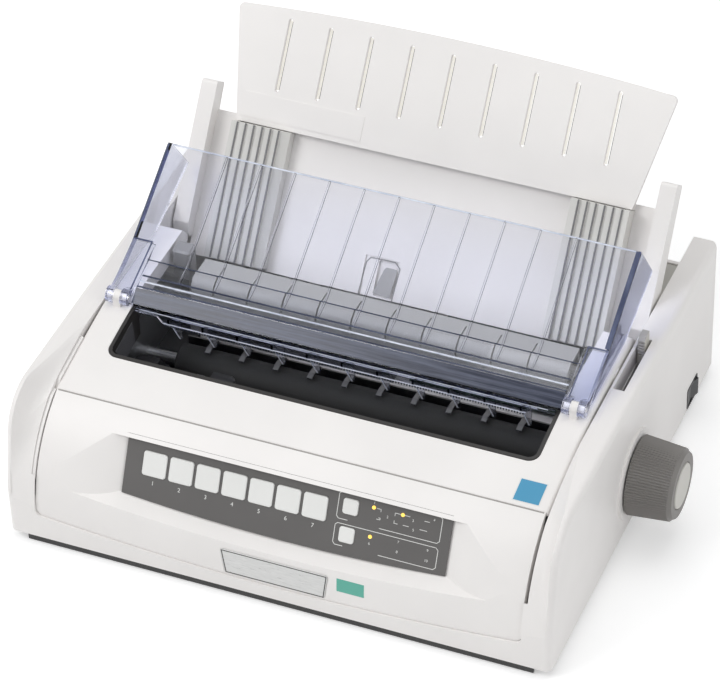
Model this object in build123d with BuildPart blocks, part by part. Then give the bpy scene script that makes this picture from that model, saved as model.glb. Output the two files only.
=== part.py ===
from build123d import *
from math import cos, degrees, atan2, hypot, radians, sin
import os

os.makedirs("parts", exist_ok=True)

# A narrow-carriage dot matrix printer. Millimetres, +Z up, the front faces -Y, +X is the knob side.
# The origin is the middle of the case at desk level.

# ---------------------------------------------------------------- case
body_width = 398.0
body_depth = 345.0
rail_height = 116.0
rail_crown = 2.5
case_wall = 3.0
case_bottom = 7.0
shoulder_radius = 35.0
edge_radius = 5.0
rail_width = 16.0
rail_inner_wall = 2.5
channel_height = rail_height - 10.5
rear_wall_height = rail_height - 26.0
seat_gap = 0.3
run_gap = 0.6
shaft_gap = 0.05

half_width = body_width / 2
front_y = -body_depth / 2
rear_y = body_depth / 2
crown_height = rail_height + rail_crown
rail_inner_x = half_width - rail_width
well_x = rail_inner_x - rail_inner_wall

# ---------------------------------------------------------------- base
base_width = body_width - 20.5
base_front_y = front_y + 5.2
base_rear_y = rear_y - 6.5
base_floor = 3.0
base_height = 16.7
base_corner = 12.0
flange_z = 10.0
flange_thickness = 3.0
steel_plate_thickness = 1.5
foot_radius = 10.0
foot_stem_radius = 3.0
foot_inset_x = 26.0
foot_inset_y = 24.0

# ---------------------------------------------------------------- front fascia and control panel
fascia_width = body_width - 43.0
fascia_front_y = front_y + 2.4
fascia_straight_z = 30.0
fascia_bottom_z = 18.0
fascia_corner_z = 28.0
seam_y = front_y + 48.0
seam_z = rail_height - 11.7
panel_top_y = front_y + 35.2
panel_top_z = rail_height - 21.8
panel_foot_y = front_y + 16.1
panel_foot_z = rail_height - 62.0
panel_width = 236.6
panel_thickness = 1.5
panel_sag = 5.4
recess_shoulder = (fascia_width - panel_width) / 2 - 12.2
recess_depth = 10.0
ledge_run = 8.7
ledge_drop = 2.9
key_size = 17.4
key_pitch = 19.6
key_count = 7
key_first_x = -96.4
key_row_s = 18.8
small_key_size = 11.0
small_key_x = 46.1
small_key_rows = (12.8, 32.9)
key_height = 1.0
key_depth = 1.1
key_travel = 0.8
key_gap = 0.25
lamp_radius = 1.3
lamp_places = ((62.2, 9.2), (82.9, 9.2), (62.5, 29.9))
badge_width = 78.9
badge_foot_width = 72.8
badge_top_z = 40.6
badge_foot_z = 19.9
badge_thickness = 1.0

# ---------------------------------------------------------------- lift-off top cover
cover_gap = 4.0
cover_half_width = rail_inner_x - cover_gap
cover_wall = 3.0
cover_front_y = seam_y + 0.4
cover_rear_y = 52.0
cover_arm_z = rail_height + 6.0
cover_skirt_z = rail_height - 8.5
window_half_width = cover_half_width - 21.0
window_front_y = front_y + 83.7
window_corner = 8.0
trim_width = 2.4
trim_depth = 34.0
hinge_y = -42.0
hinge_z = cover_arm_z + 3.8
hinge_pin_radius = 2.0
lug_radius = 5.8
lug_inner_x = window_half_width + 2.0
lug_outer_x = cover_half_width - 3.0
knuckle_width = 5.4
knuckle_radius = 4.4

# ---------------------------------------------------------------- clear flap
flap_rear_y = 67.0
flap_rear_z = hinge_z + 53.8
flap_fold_y = -8.5
flap_fold_z = hinge_z + 9.6
flap_lip_y = hinge_y + 9.0
flap_lip_z = hinge_z + 3.7
flap_half_width = lug_outer_x
flap_skin = 2.4
flap_rib_count = 11
flap_rib_pitch = 2 * (window_half_width - 28.0) / (flap_rib_count - 1)
flap_rib_width = 1.2
flap_rib_height = 1.6
flap_wall_rear_y = 93.0
flap_wall_rear_z = hinge_z + 17.7
flap_wall_front_y = 36.0
flap_wall_front_z = hinge_z - 1.8

# ---------------------------------------------------------------- sheet support behind the flap
support_y = 73.0
support_z = rail_height - 11.0
support_slope = 54.0
support_pivot_s = -2.0
support_pivot_n = -10.0
support_pin_radius = 3.0
fin_outer_x = rail_inner_x - 4.0
fin_width = 12.0
fin_length = 104.0
fin_depth = 20.0
board_n = -13.0
board_thickness = 3.0
board_foot_s = -22.0
board_top_s = 84.0
extension_n = -6.0
extension_thickness = 4.0
extension_foot_s = 80.0
extension_top_s = 163.0
extension_top_width = 2 * (fin_outer_x - 14.0)
extension_foot_width = 2 * (fin_outer_x - 29.5)
extension_arch = 6.0
slot_count = 9
slot_pitch = 31.0
slot_length = 53.0
slot_centre_s = 132.0
slot_width = 3.2
guide_width = 44.0
guide_outer_x = fin_outer_x - 29.0
guide_foot_s = -20.0
guide_top_s = 79.4
guide_front_n = 2.0
guide_ridges = 6

# ---------------------------------------------------------------- print mechanism
frame_x = well_x - 15.5
frame_thickness = 2.0
platen_y = -8.0
platen_z = 48.0
platen_radius = 13.5
platen_half_length = frame_x - 25.0
platen_shaft_radius = 5.0
knob_inner_x = half_width + 3.0
knob_length = 32.5
knob_base_radius = 28.5
knob_tip_radius = 26.0
knob_ribs = 84
knob_rib_depth = 0.7
knob_boss_radius = 33.0
pan_radius = platen_radius + 2.2
pan_thickness = 1.2
pan_rim_z = platen_z + 12.5
tongue_width = 4.0
guide_shaft_y = -66.0
guide_shaft_z = 30.0
guide_shaft_radius = 5.0
carriage_x = 47.0 - frame_x
carriage_width = 46.0
gear_module = 1.0
platen_gear_teeth = 48
pinion_teeth = 16
gear_width = 4.0
exit_guide_left = 31.0 - frame_x
exit_guide_right = frame_x - 19.0
exit_guide_top_z = rail_height - 2.0
exit_guide_rear_y = 30.0
exit_guide_front_y = 2.0
exit_guide_radius = 11.0
lever_x = rail_inner_x + 3.5
lever_thickness = 5.0
lever_pivot_y = 46.0
lever_pivot_z = 44.0
lever_top_z = rail_height + 11.0
lever_swing = 33.0
lever_slot_front_y = lever_pivot_y - (lever_top_z - lever_pivot_z) * sin(radians(lever_swing)) - 7.0
lever_slot_rear_y = 52.0
lever_slot_width = 8.0
switch_y = rear_y - 49.5
switch_z = 17.0
switch_length = 22.0
switch_height = 18.0
switch_pivot_x = half_width - 6.5
rocker_tilt = 6.0
lever_pin_radius = 3.0
finger_thickness = 1.5
scale_bar_y = -23.0
scale_bar_z = rail_height - 4.0
scale_bar_height = 10.0
slit_width = 1.2
frame_top = rail_height - 21.0
deck_z = 13.5
rail_top_z = 28.0
front_rail_y = -92.2
feed_motor_y = 18.0
feed_motor_z = 29.2
knob_cap_radius = 16.5
belt_mid_y = -24.0
pulley_radius = 8.0
pulley_pin_radius = 2.0
pulley_x = frame_x - 12.5
belt_thickness = 1.2
belt_front_y = belt_mid_y - pulley_radius - 0.15 - belt_thickness / 2
tractor_bar_y = 40.0
tractor_bar_z = 62.0
tractor_bar_radius = 4.0
tractor_x = frame_x - 35.0
tractor_width = 18.0
rear_deck_front_y = 104.0
rear_deck_z = rear_wall_height - 4.0
board_z = 9.0
inlet_x = 55.0 - frame_x
inlet_z = 33.0
board_left_x = 3.0
board_width = frame_x - board_left_x - 12.0
board_front_y = 72.0
board_depth = rear_y - 14.5 - board_front_y
board_x = board_left_x + board_width / 2
board_y = board_front_y + board_depth / 2
supply_right_x = -9.0
supply_width = frame_x + supply_right_x - 10.0
supply_front_y = 68.0
supply_depth = rear_y - 20.5 - supply_front_y
supply_x = supply_right_x - supply_width / 2
supply_y = supply_front_y + supply_depth / 2
port_x = frame_x - 70.0
supply_height = 42.0
shield_thickness = 1.2
port_z = 34.0


def save(piece, label):
    piece.part.label = label
    export_step(piece.part, f"parts/{label}.step")


def side_plane(x):
    return Plane(origin=(x, 0, 0), x_dir=(0, 1, 0), z_dir=(1, 0, 0))


def bar_x(x0, x1, y, z, radius):
    """A round bar along X."""
    with BuildPart() as bar:
        with BuildSketch(side_plane(x0)):
            with Locations((y, z)):
                Circle(radius)
        extrude(amount=x1 - x0)
    return bar


# The control panel leans back; its own plane has X along the machine and Y up the slope.
panel_rise = hypot(panel_top_y - panel_foot_y, panel_top_z - panel_foot_z)
up_y = (panel_top_y - panel_foot_y) / panel_rise
up_z = (panel_top_z - panel_foot_z) / panel_rise
panel_plane = Plane(origin=(0, panel_top_y, panel_top_z), x_dir=(1, 0, 0), z_dir=(0, -up_z, up_y))

# The sheet support's plane: X along the machine, Y up the slope, +Z towards the operator.
slope_y = cos(radians(support_slope))
slope_z = sin(radians(support_slope))
support_plane = Plane(origin=(0, support_y, support_z), x_dir=(1, 0, 0), z_dir=(0, -slope_z, slope_y))


support_pivot_y = support_y + slope_y * support_pivot_s - slope_z * support_pivot_n
support_pivot_z = support_z + slope_z * support_pivot_s + slope_y * support_pivot_n


def panel_outline(grow):
    """Edge of the control panel on its own slope, drawn inside a BuildLine."""
    half = panel_width / 2 - seat_gap + grow
    foot_arc = ThreePointArc(
        (-half, -panel_rise + 0.8 - grow),
        (0, -panel_rise - panel_sag + 1.6 - grow),
        (half, -panel_rise + 0.8 - grow),
    )
    Polyline(foot_arc @ 1, (half, -0.5 + grow), (-half, -0.5 + grow), foot_arc @ 0)


# ================================================================ base and feet
with BuildPart() as base_pan:
    with BuildSketch(Plane.XY.offset(base_floor)):
        with Locations((0, (base_front_y + base_rear_y) / 2)):
            RectangleRounded(base_width, base_rear_y - base_front_y, base_corner)
    extrude(amount=base_height - base_floor)
    with BuildSketch(Plane.XY.offset(base_floor + case_wall)):
        with Locations((0, (base_front_y + base_rear_y) / 2)):
            RectangleRounded(
                base_width - 2 * case_wall,
                base_rear_y - base_front_y - 2 * case_wall,
                base_corner - case_wall,
            )
    extrude(amount=base_height, mode=Mode.SUBTRACT)
    with BuildSketch(Plane.XY.offset(flange_z)):
        for side in (-1, 1):
            with Locations((side * (base_width / 2 + 3.4), (base_front_y + base_rear_y) / 2)):
                Rectangle(2 * (half_width - case_wall - seat_gap - base_width / 2 - 3.4), body_depth - 45)
            with Locations((side * (base_width / 2 + 1.5), (base_front_y + base_rear_y) / 2)):
                Rectangle(5, body_depth - 45)
    extrude(amount=flange_thickness)
    with BuildSketch(Plane.XY.offset(base_floor)):
        with GridLocations(base_width - 2 * foot_inset_x, body_depth - 2 * foot_inset_y, 2, 2):
            Circle(foot_stem_radius + shaft_gap)
    extrude(amount=case_wall, mode=Mode.SUBTRACT)
    # notch for the power switch
    with BuildSketch(Plane.XY.offset(switch_z - switch_height / 2 - run_gap)):
        with Locations((half_width - 8, switch_y)):
            Rectangle(20, switch_length + 2 * run_gap)
    extrude(amount=switch_height, mode=Mode.SUBTRACT)
save(base_pan, "base_pan")

with BuildPart() as bottom_plate:
    with BuildSketch(Plane.XY.offset(base_floor)):
        with Locations((0, (base_front_y + base_rear_y) / 2)):
            RectangleRounded(base_width - 3, base_rear_y - base_front_y - 3, base_corner - 1.5)
        with GridLocations(base_width - 2 * foot_inset_x, body_depth - 2 * foot_inset_y, 2, 2):
            Circle(foot_stem_radius + shaft_gap, mode=Mode.SUBTRACT)
    extrude(amount=-steel_plate_thickness)
save(bottom_plate, "bottom_plate")

foot_places = {
    "front_left": (-1, -1),
    "front_right": (1, -1),
    "rear_left": (-1, 1),
    "rear_right": (1, 1),
}
for place, (side, end) in foot_places.items():
    foot_x = side * (base_width / 2 - foot_inset_x)
    foot_y = end * (body_depth / 2 - foot_inset_y)
    with BuildPart() as rubber_foot:
        with BuildSketch(Plane(origin=(foot_x, foot_y, 0))):
            Circle(foot_radius)
        extrude(amount=base_floor - steel_plate_thickness, taper=10)
        with BuildSketch(Plane(origin=(foot_x, foot_y, base_floor - steel_plate_thickness))):
            Circle(foot_stem_radius)
        extrude(amount=steel_plate_thickness + case_wall)
        with BuildSketch(Plane(origin=(foot_x, foot_y, base_floor + case_wall))):
            Circle(foot_stem_radius + 1)
        extrude(amount=2, taper=20)
    save(rubber_foot, "foot_" + place)

# ================================================================ case shell
# The fascia's brow is one arc from its upright foot to the seam; the rails follow it, a little proud.
brow_run = seam_y - fascia_front_y
brow_rise = seam_z - fascia_straight_z
brow_radius = hypot(brow_run, brow_rise) ** 2 / (2 * brow_run)
brow_angle = degrees(atan2(brow_rise, brow_radius - brow_run))
rail_proud = 2.0


def brow_point(angle, proud):
    """A place on the brow arc in the side view, moved outwards by proud."""
    reach = brow_radius + proud
    return (
        fascia_front_y + brow_radius - reach * cos(radians(angle)),
        fascia_straight_z + reach * sin(radians(angle)),
    )


def fascia_foot(gap, top):
    """The region above the arched foot of the fascia, drawn inside a BuildLine."""
    half = fascia_width / 2 + gap
    arch = ThreePointArc((-half, fascia_corner_z - gap), (0, fascia_bottom_z - gap), (half, fascia_corner_z - gap))
    Polyline(arch @ 1, (half, top), (-half, top), arch @ 0)


case_outline = (
    (front_y + 1.5, case_bottom),
    (front_y, 45),
    (front_y + 13.5, crown_height),
    (-30, crown_height),
    (rear_y, rail_height),
    (rear_y, case_bottom),
)

with BuildPart() as upper_housing:
    with BuildSketch(side_plane(0)):
        with BuildLine():
            Polyline(*case_outline, close=True)
        make_face()
        fillet(vertices().group_by(Axis.Y)[-1].sort_by(Axis.X)[0], shoulder_radius)
    extrude(amount=half_width, both=True)
    side_faces = faces().filter_by(GeomType.PLANE).filter_by(Axis.X)
    rims = side_faces.edges().filter_by(lambda e: e.center().Z > case_bottom + 1)
    fillet(rims, edge_radius)
    # the well between the rails, and the hollow double walls under the rails
    with BuildSketch(side_plane(0)) as well:
        with BuildLine():
            Polyline(*case_outline, close=True)
        make_face()
        fillet(vertices().group_by(Axis.Y)[-1].sort_by(Axis.X)[0], shoulder_radius)
        offset(amount=-case_wall, kind=Kind.INTERSECTION)
        with Locations((0, case_bottom + 1)):
            Rectangle(body_depth - 2 * case_wall - 3, 10)
    extrude(amount=well_x, both=True, mode=Mode.SUBTRACT)
    for side in (-1, 1):
        with BuildSketch(side_plane(side * rail_inner_x)):
            with BuildLine():
                toe = Line((brow_point(0, -1)[0], case_bottom - 5), brow_point(0, -1))
                brow = ThreePointArc(toe @ 1, brow_point(30, -1), brow_point(58, -1))
                Polyline(
                    brow @ 1,
                    (seam_y + 6, channel_height - case_wall),
                    (rear_y - case_wall, channel_height - case_wall),
                    (rear_y - case_wall, case_bottom - 5),
                    toe @ 0,
                )
            make_face()
        extrude(amount=side * (rail_width - case_wall), mode=Mode.SUBTRACT)
    # room for the base tray under the inner walls
    with BuildSketch(Plane.XY.offset(case_bottom)):
        Rectangle(2 * (half_width - case_wall), body_depth - 2 * case_wall - 3)
    extrude(amount=base_height + seat_gap - case_bottom, mode=Mode.SUBTRACT)
    # open top and rear, and the mouth that the fascia closes
    with BuildSketch(Plane.XY.offset(rear_wall_height)):
        with Locations((0, (seam_y + rear_y) / 2 + 10)):
            Rectangle(2 * well_x, rear_y - seam_y + 20)
    extrude(amount=60, mode=Mode.SUBTRACT)
    with BuildSketch(Plane.XZ.offset(-seam_y)):
        with BuildLine():
            fascia_foot(seat_gap, crown_height + 20)
        make_face()
        fillet(vertices().group_by(Axis.Y)[0], 5)
    extrude(amount=80, mode=Mode.SUBTRACT)
    # rail tops: level with the fascia and the cover along their inner edge, rising to a ridge outside
    for side in (-1, 1):
        with BuildSketch(side_plane(side * (fascia_width / 2 - 1))):
            with BuildLine():
                low = ThreePointArc(brow_point(0, rail_proud), brow_point(12, rail_proud), brow_point(24, rail_proud))
                brow = ThreePointArc(low @ 1, brow_point(42, rail_proud), brow_point(brow_angle, rail_proud))
                deck = ThreePointArc(brow @ 1, (window_front_y, seam_z + 8.7), (hinge_y - 8, seam_z + 13.4))
                Polyline(
                    deck @ 1,
                    (lever_slot_rear_y + 18, seam_z + 13.4),
                    (lever_slot_rear_y + 18, crown_height + 30),
                    (front_y - 20, crown_height + 30),
                    (front_y - 20, fascia_straight_z),
                    low @ 0,
                )
            make_face()
        with BuildSketch(side_plane(side * (half_width - edge_radius + 1))):
            with BuildLine():
                low = Line((front_y - 1, fascia_straight_z), (front_y + 7.3, rail_height - 26))
                brow = ThreePointArc(
                    low @ 1, (front_y + 17.5, crown_height - 9.5), (front_y + 43, crown_height + 1)
                )
                deck = Line(brow @ 1, (hinge_y - 8, crown_height + 1))
                Polyline(
                    deck @ 1,
                    (lever_slot_rear_y + 18, crown_height + 1),
                    (lever_slot_rear_y + 18, crown_height + 30),
                    (front_y - 20, crown_height + 30),
                    (front_y - 20, fascia_straight_z),
                    low @ 0,
                )
            make_face()
        loft(ruled=True, mode=Mode.SUBTRACT)
    # the slot that the paper lever moves in
    slot_mid = (lever_slot_front_y + lever_slot_rear_y) / 2
    with BuildSketch(Plane.XY.offset(channel_height - case_wall - 1)):
        with Locations((lever_x, slot_mid)):
            Rectangle(lever_slot_width, lever_slot_rear_y - lever_slot_front_y)
    extrude(amount=30, mode=Mode.SUBTRACT)
    # knob side: ring boss and shaft holes
    with BuildSketch(side_plane(half_width - 0.5)):
        with Locations((platen_y, platen_z)):
            Circle(knob_boss_radius)
    extrude(amount=2.3)
    with BuildSketch(side_plane(well_x - 1)):
        with Locations((platen_y, platen_z)):
            Circle(platen_shaft_radius + 3)
    extrude(amount=half_width + 10 - well_x, mode=Mode.SUBTRACT)
    # pivot holes of the sheet support
    with BuildSketch(side_plane(-rail_inner_x - 0.5)):
        with Locations((support_pivot_y, support_pivot_z)):
            Circle(support_pin_radius + shaft_gap)
    extrude(amount=2 * rail_inner_x + 1, mode=Mode.SUBTRACT)
    # stub that the paper lever turns on
    with BuildSketch(side_plane(rail_inner_x - 1)):
        with Locations((lever_pivot_y, lever_pivot_z)):
            Circle(lever_pin_radius)
    extrude(amount=lever_x + lever_thickness / 2 + 1 - rail_inner_x + 1)
    # power switch opening
    with BuildSketch(side_plane(rail_inner_x + 2)):
        with Locations((switch_y, switch_z)):
            RectangleRounded(switch_length + 2 * seat_gap, switch_height + 2 * seat_gap, 2)
    extrude(amount=rail_width, mode=Mode.SUBTRACT)
    # sheet entry slot across the rear wall, and the connector window below it
    with BuildSketch(Plane.XZ.offset(-rear_y - 1)):
        with Locations((0, rear_wall_height - 20)):
            Rectangle(2 * (frame_x - 20), 16)
        with Locations((port_x, port_z)):
            Rectangle(58, 14)
        with Locations((inlet_x, inlet_z)):
            Rectangle(30, 22)
    extrude(amount=10, mode=Mode.SUBTRACT)
save(upper_housing, "upper_housing")

# ================================================================ front fascia
recess_half = panel_width / 2 + recess_shoulder
arch_rise = panel_sag * (recess_half / (panel_width / 2)) ** 2 * 0.76

# the hollow in front of the panel: rounded shoulders in plan, and a sloping ledge below
with BuildPart() as panel_recess:
    foot_plane = Plane(
        origin=(0, panel_top_y - up_y * 70, panel_top_z - up_z * 70), x_dir=(1, 0, 0), z_dir=(0, up_y, up_z)
    )
    with BuildSketch(foot_plane):
        with BuildLine():
            right = TangentArc(
                (recess_half, -recess_depth), (panel_width / 2, panel_thickness), tangent=(-1, 0)
            )
            left = TangentArc(
                (-recess_half, -recess_depth), (-panel_width / 2, panel_thickness), tangent=(1, 0)
            )
            Line(right @ 1, left @ 1)
            Polyline(right @ 0, (recess_half, -60), (-recess_half, -60), left @ 0)
        make_face()
    extrude(amount=90)
    ledge_length = hypot(ledge_run, ledge_drop)
    ledge_plane = Plane(
        origin=(0, panel_foot_y, panel_foot_z),
        x_dir=(1, 0, 0),
        z_dir=(0, -ledge_run / ledge_length, -ledge_drop / ledge_length),
    )
    ledge_top = (panel_top_y - panel_foot_y) * (-ledge_drop / ledge_length)
    ledge_top += (panel_top_z - panel_foot_z) * (ledge_run / ledge_length)
    with BuildSketch(ledge_plane.offset(-30)):
        with BuildLine():
            arch = ThreePointArc(
                (-recess_half - 2, arch_rise - panel_sag + 1.5),
                (0, -panel_sag + 1.2),
                (recess_half + 2, arch_rise - panel_sag + 1.5),
            )
            Polyline(arch @ 1, (recess_half + 2, ledge_top), (-recess_half - 2, ledge_top), arch @ 0)
        make_face()
    extrude(amount=90, mode=Mode.INTERSECT)

with BuildPart() as front_fascia:
    with BuildSketch(side_plane(0)):
        with BuildLine():
            toe = Line((fascia_front_y, fascia_bottom_z), (fascia_front_y, fascia_straight_z))
            brow = TangentArc(toe @ 1, (seam_y, seam_z), tangent=(0, 1))
            Polyline(
                brow @ 1,
                (seam_y, seam_z - case_wall),
                (panel_top_y + 8.5, panel_top_z + 1),
                (panel_foot_y + 8.5, panel_foot_z - 2),
                (fascia_front_y + case_wall, fascia_straight_z),
                (fascia_front_y + case_wall, fascia_bottom_z),
                toe @ 0,
            )
        make_face()
    extrude(amount=fascia_width / 2, both=True)
    with BuildSketch(Plane.XZ.offset(-seam_y - 10)):
        with BuildLine():
            fascia_foot(0, crown_height)
        make_face()
        fillet(vertices().group_by(Axis.Y)[0], 5)
    extrude(amount=80, both=True, mode=Mode.INTERSECT)
    add(panel_recess.part, mode=Mode.SUBTRACT)
    # seat of the panel, then troughs behind the keys and lamps
    with BuildSketch(panel_plane.offset(-panel_thickness)):
        with BuildLine():
            panel_outline(seat_gap)
        make_face()
    extrude(amount=panel_thickness + 2, mode=Mode.SUBTRACT)
    row_mid = key_first_x + key_pitch * (key_count - 1) / 2
    with BuildSketch(panel_plane.offset(-panel_thickness - 3)):
        with Locations((row_mid, -key_row_s)):
            Rectangle(key_pitch * (key_count - 1) + key_size + 1, key_size + 1)
        for row in small_key_rows:
            with Locations((small_key_x, -row)):
                Rectangle(small_key_size + 1, small_key_size + 1)
        for lamp_x, lamp_s in lamp_places:
            with Locations((lamp_x, -lamp_s)):
                Circle(lamp_radius + 1)
        with Locations(((lamp_places[0][0] + lamp_places[1][0]) / 2, -lamp_places[0][1])):
            Rectangle(lamp_places[1][0] - lamp_places[0][0], 3)
        with Locations((lamp_places[0][0], -(lamp_places[0][1] + lamp_places[2][1]) / 2)):
            Rectangle(3, lamp_places[2][1] - lamp_places[0][1])
    extrude(amount=panel_thickness + 4, mode=Mode.SUBTRACT)
    # shallow seat for the badge plate
    with BuildSketch(Plane.XZ.offset(-fascia_front_y - 0.8)):
        with BuildLine():
            Polyline(
                (-badge_width / 2 - 0.4, badge_top_z + 0.4),
                (badge_width / 2 + 0.4, badge_top_z + 0.4),
                (badge_foot_width / 2 + 0.4, badge_foot_z - 0.4),
                (-badge_foot_width / 2 - 0.4, badge_foot_z - 0.4),
                close=True,
            )
        make_face()
        fillet(vertices(), 2.4)
    extrude(amount=5, mode=Mode.SUBTRACT)
save(front_fascia, "front_fascia")

with BuildPart() as badge_plate:
    with BuildSketch(Plane.XZ.offset(-fascia_front_y - 0.8 + 0.05)):
        with BuildLine():
            Polyline(
                (-badge_width / 2, badge_top_z),
                (badge_width / 2, badge_top_z),
                (badge_foot_width / 2, badge_foot_z),
                (-badge_foot_width / 2, badge_foot_z),
                close=True,
            )
        make_face()
        fillet(vertices(), 2)
    extrude(amount=badge_thickness)
save(badge_plate, "badge_plate")


def key_spots():
    """Every key: its name, place across the panel, distance down the slope and size."""
    spots = []
    for number in range(key_count):
        spots.append((f"key_{number + 1}", key_first_x + number * key_pitch, key_row_s, key_size))
    for number, row in enumerate(small_key_rows):
        spots.append((f"small_key_{number + 1}", small_key_x, row, small_key_size))
    return spots


with BuildPart() as control_panel:
    with BuildSketch(panel_plane.offset(-panel_thickness + 0.1)):
        with BuildLine():
            panel_outline(0)
        make_face()
        for label, x, s, size in key_spots():
            with Locations((x, -s)):
                RectangleRounded(size + 2 * key_gap, size + 2 * key_gap, 2.3, mode=Mode.SUBTRACT)
        for lamp_x, lamp_s in lamp_places:
            with Locations((lamp_x, -lamp_s)):
                Circle(lamp_radius + 0.1, mode=Mode.SUBTRACT)
    extrude(amount=panel_thickness - 0.1)
save(control_panel, "control_panel")

for label, x, s, size in key_spots():
    with BuildPart() as key:
        with BuildSketch(panel_plane.offset(-panel_thickness - key_depth)):
            with Locations((x, -s)):
                RectangleRounded(size, size, 2)
        extrude(amount=panel_thickness + key_depth + key_height)
        chamfer(faces().sort_by(Axis((0, 0, 0), panel_plane.z_dir))[-1].edges(), 0.5)
    save(key, label)

with BuildPart() as light_guide:
    with BuildSketch(panel_plane.offset(-panel_thickness - 2.9)):
        for lamp_x, lamp_s in lamp_places:
            with Locations((lamp_x, -lamp_s)):
                Circle(lamp_radius)
    extrude(amount=panel_thickness + 2.9 + 0.3)
    # thin web behind the panel that joins the three lenses
    with BuildSketch(panel_plane.offset(-panel_thickness - 2.9)):
        with Locations(((lamp_places[0][0] + lamp_places[1][0]) / 2, -lamp_places[0][1])):
            Rectangle(lamp_places[1][0] - lamp_places[0][0], 2)
        with Locations((lamp_places[0][0], -(lamp_places[0][1] + lamp_places[2][1]) / 2)):
            Rectangle(2, lamp_places[2][1] - lamp_places[0][1])
    extrude(amount=2)
save(light_guide, "light_guide")

# ================================================================ top cover
def cover_profile():
    """Side outline of the top cover, drawn inside a BuildLine: crowned deck, then level arms."""
    deck = ThreePointArc((cover_front_y, seam_z), (window_front_y, seam_z + 7.5), (hinge_y - 8, seam_z + 13.9))
    Polyline(
        deck @ 1,
        (-22, cover_arm_z),
        (cover_rear_y - 8, cover_arm_z),
        (cover_rear_y, cover_arm_z - 8),
        (cover_rear_y, cover_skirt_z),
        (-100, cover_skirt_z),
        (cover_front_y, seam_z - cover_wall),
        deck @ 0,
    )


with BuildPart() as top_cover:
    with BuildSketch(side_plane(0)):
        with BuildLine():
            cover_profile()
        make_face()
    extrude(amount=cover_half_width, both=True)
    top_edges = edges().filter_by(lambda e: abs(abs(e.center().X) - cover_half_width) < 0.01)
    fillet(top_edges.filter_by(lambda e: e.center().Z > cover_skirt_z + 1 and e.length > 15), 2.5)
    with BuildSketch(side_plane(0)):
        with BuildLine():
            cover_profile()
        make_face()
        offset(amount=-cover_wall, kind=Kind.INTERSECTION)
        with Locations(((window_front_y + cover_rear_y) / 2, cover_skirt_z)):
            Rectangle(cover_rear_y - window_front_y - 8, 8)
    extrude(amount=cover_half_width - cover_wall, both=True, mode=Mode.SUBTRACT)
    with BuildSketch(Plane.XY.offset(80)):
        with Locations((0, window_front_y + 100)):
            RectangleRounded(2 * window_half_width, 200, window_corner)
    extrude(amount=80, mode=Mode.SUBTRACT)
    # inner wall of each arm beside the opening
    for side in (-1, 1):
        with BuildSketch(side_plane(side * window_half_width)):
            with BuildLine():
                Polyline(
                    (scale_bar_y - 8, cover_skirt_z),
                    (scale_bar_y - 8, cover_arm_z - 2),
                    (scale_bar_y + 4, cover_arm_z - 0.5),
                    (cover_rear_y - 9, cover_arm_z - 0.5),
                    (cover_rear_y - 1, cover_arm_z - 8),
                    (cover_rear_y - 1, cover_skirt_z),
                    close=True,
                )
            make_face()
        extrude(amount=side * cover_wall)
        # finger pads on the arm's outer face
        with BuildSketch(side_plane(side * (cover_half_width - 0.2))):
            with Locations((10, cover_arm_z - 7.5)):
                RegularPolygon(6.2, 6)
        extrude(amount=side * 1.0)
        # hinge knuckle with its fixed pin
        knuckle_x = side * (lug_inner_x + lug_outer_x) / 2
        with BuildSketch(side_plane(knuckle_x)):
            with Locations((hinge_y, hinge_z)):
                Circle(knuckle_radius)
            with Locations((hinge_y, hinge_z - 4.9)):
                Rectangle(2 * knuckle_radius, 9.8)
        extrude(amount=knuckle_width / 2, both=True)
        with BuildSketch(side_plane(knuckle_x)):
            with Locations((hinge_y, hinge_z)):
                Circle(hinge_pin_radius)
        extrude(amount=(lug_outer_x - lug_inner_x) / 2 - 0.5, both=True)
save(top_cover, "top_cover")

with BuildPart() as window_trim:
    with BuildSketch(Plane.XY.offset(cover_arm_z - trim_depth)):
        with Locations((0, window_front_y + 100 + seat_gap)):
            RectangleRounded(2 * (window_half_width - seat_gap), 200, window_corner)
            RectangleRounded(
                2 * (window_half_width - seat_gap - trim_width),
                200 - 2 * trim_width,
                window_corner - trim_width,
                mode=Mode.SUBTRACT,
            )
    extrude(amount=trim_depth + 10)
    with BuildSketch(side_plane(0)):
        with BuildLine():
            rim = ThreePointArc(
                (cover_front_y, seam_z + 0.5), (window_front_y, seam_z + 8), (hinge_y - 8, seam_z + 14.4)
            )
            Polyline(
                rim @ 1,
                (hinge_y + 4, cover_arm_z - 2.8),
                (hinge_y + 4, cover_arm_z - 30),
                (window_front_y - 4, cover_arm_z - 36),
                (cover_front_y, cover_arm_z - 36),
                rim @ 0,
            )
        make_face()
    extrude(amount=half_width, both=True, mode=Mode.INTERSECT)
save(window_trim, "window_trim")

# ================================================================ clear flap
flap_slope = atan2(flap_rear_z - flap_fold_z, flap_rear_y - flap_fold_y)
skin_y = -sin(flap_slope) * flap_skin
skin_z = cos(flap_slope) * flap_skin
rib_span = flap_rib_pitch * (flap_rib_count - 1)

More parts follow.
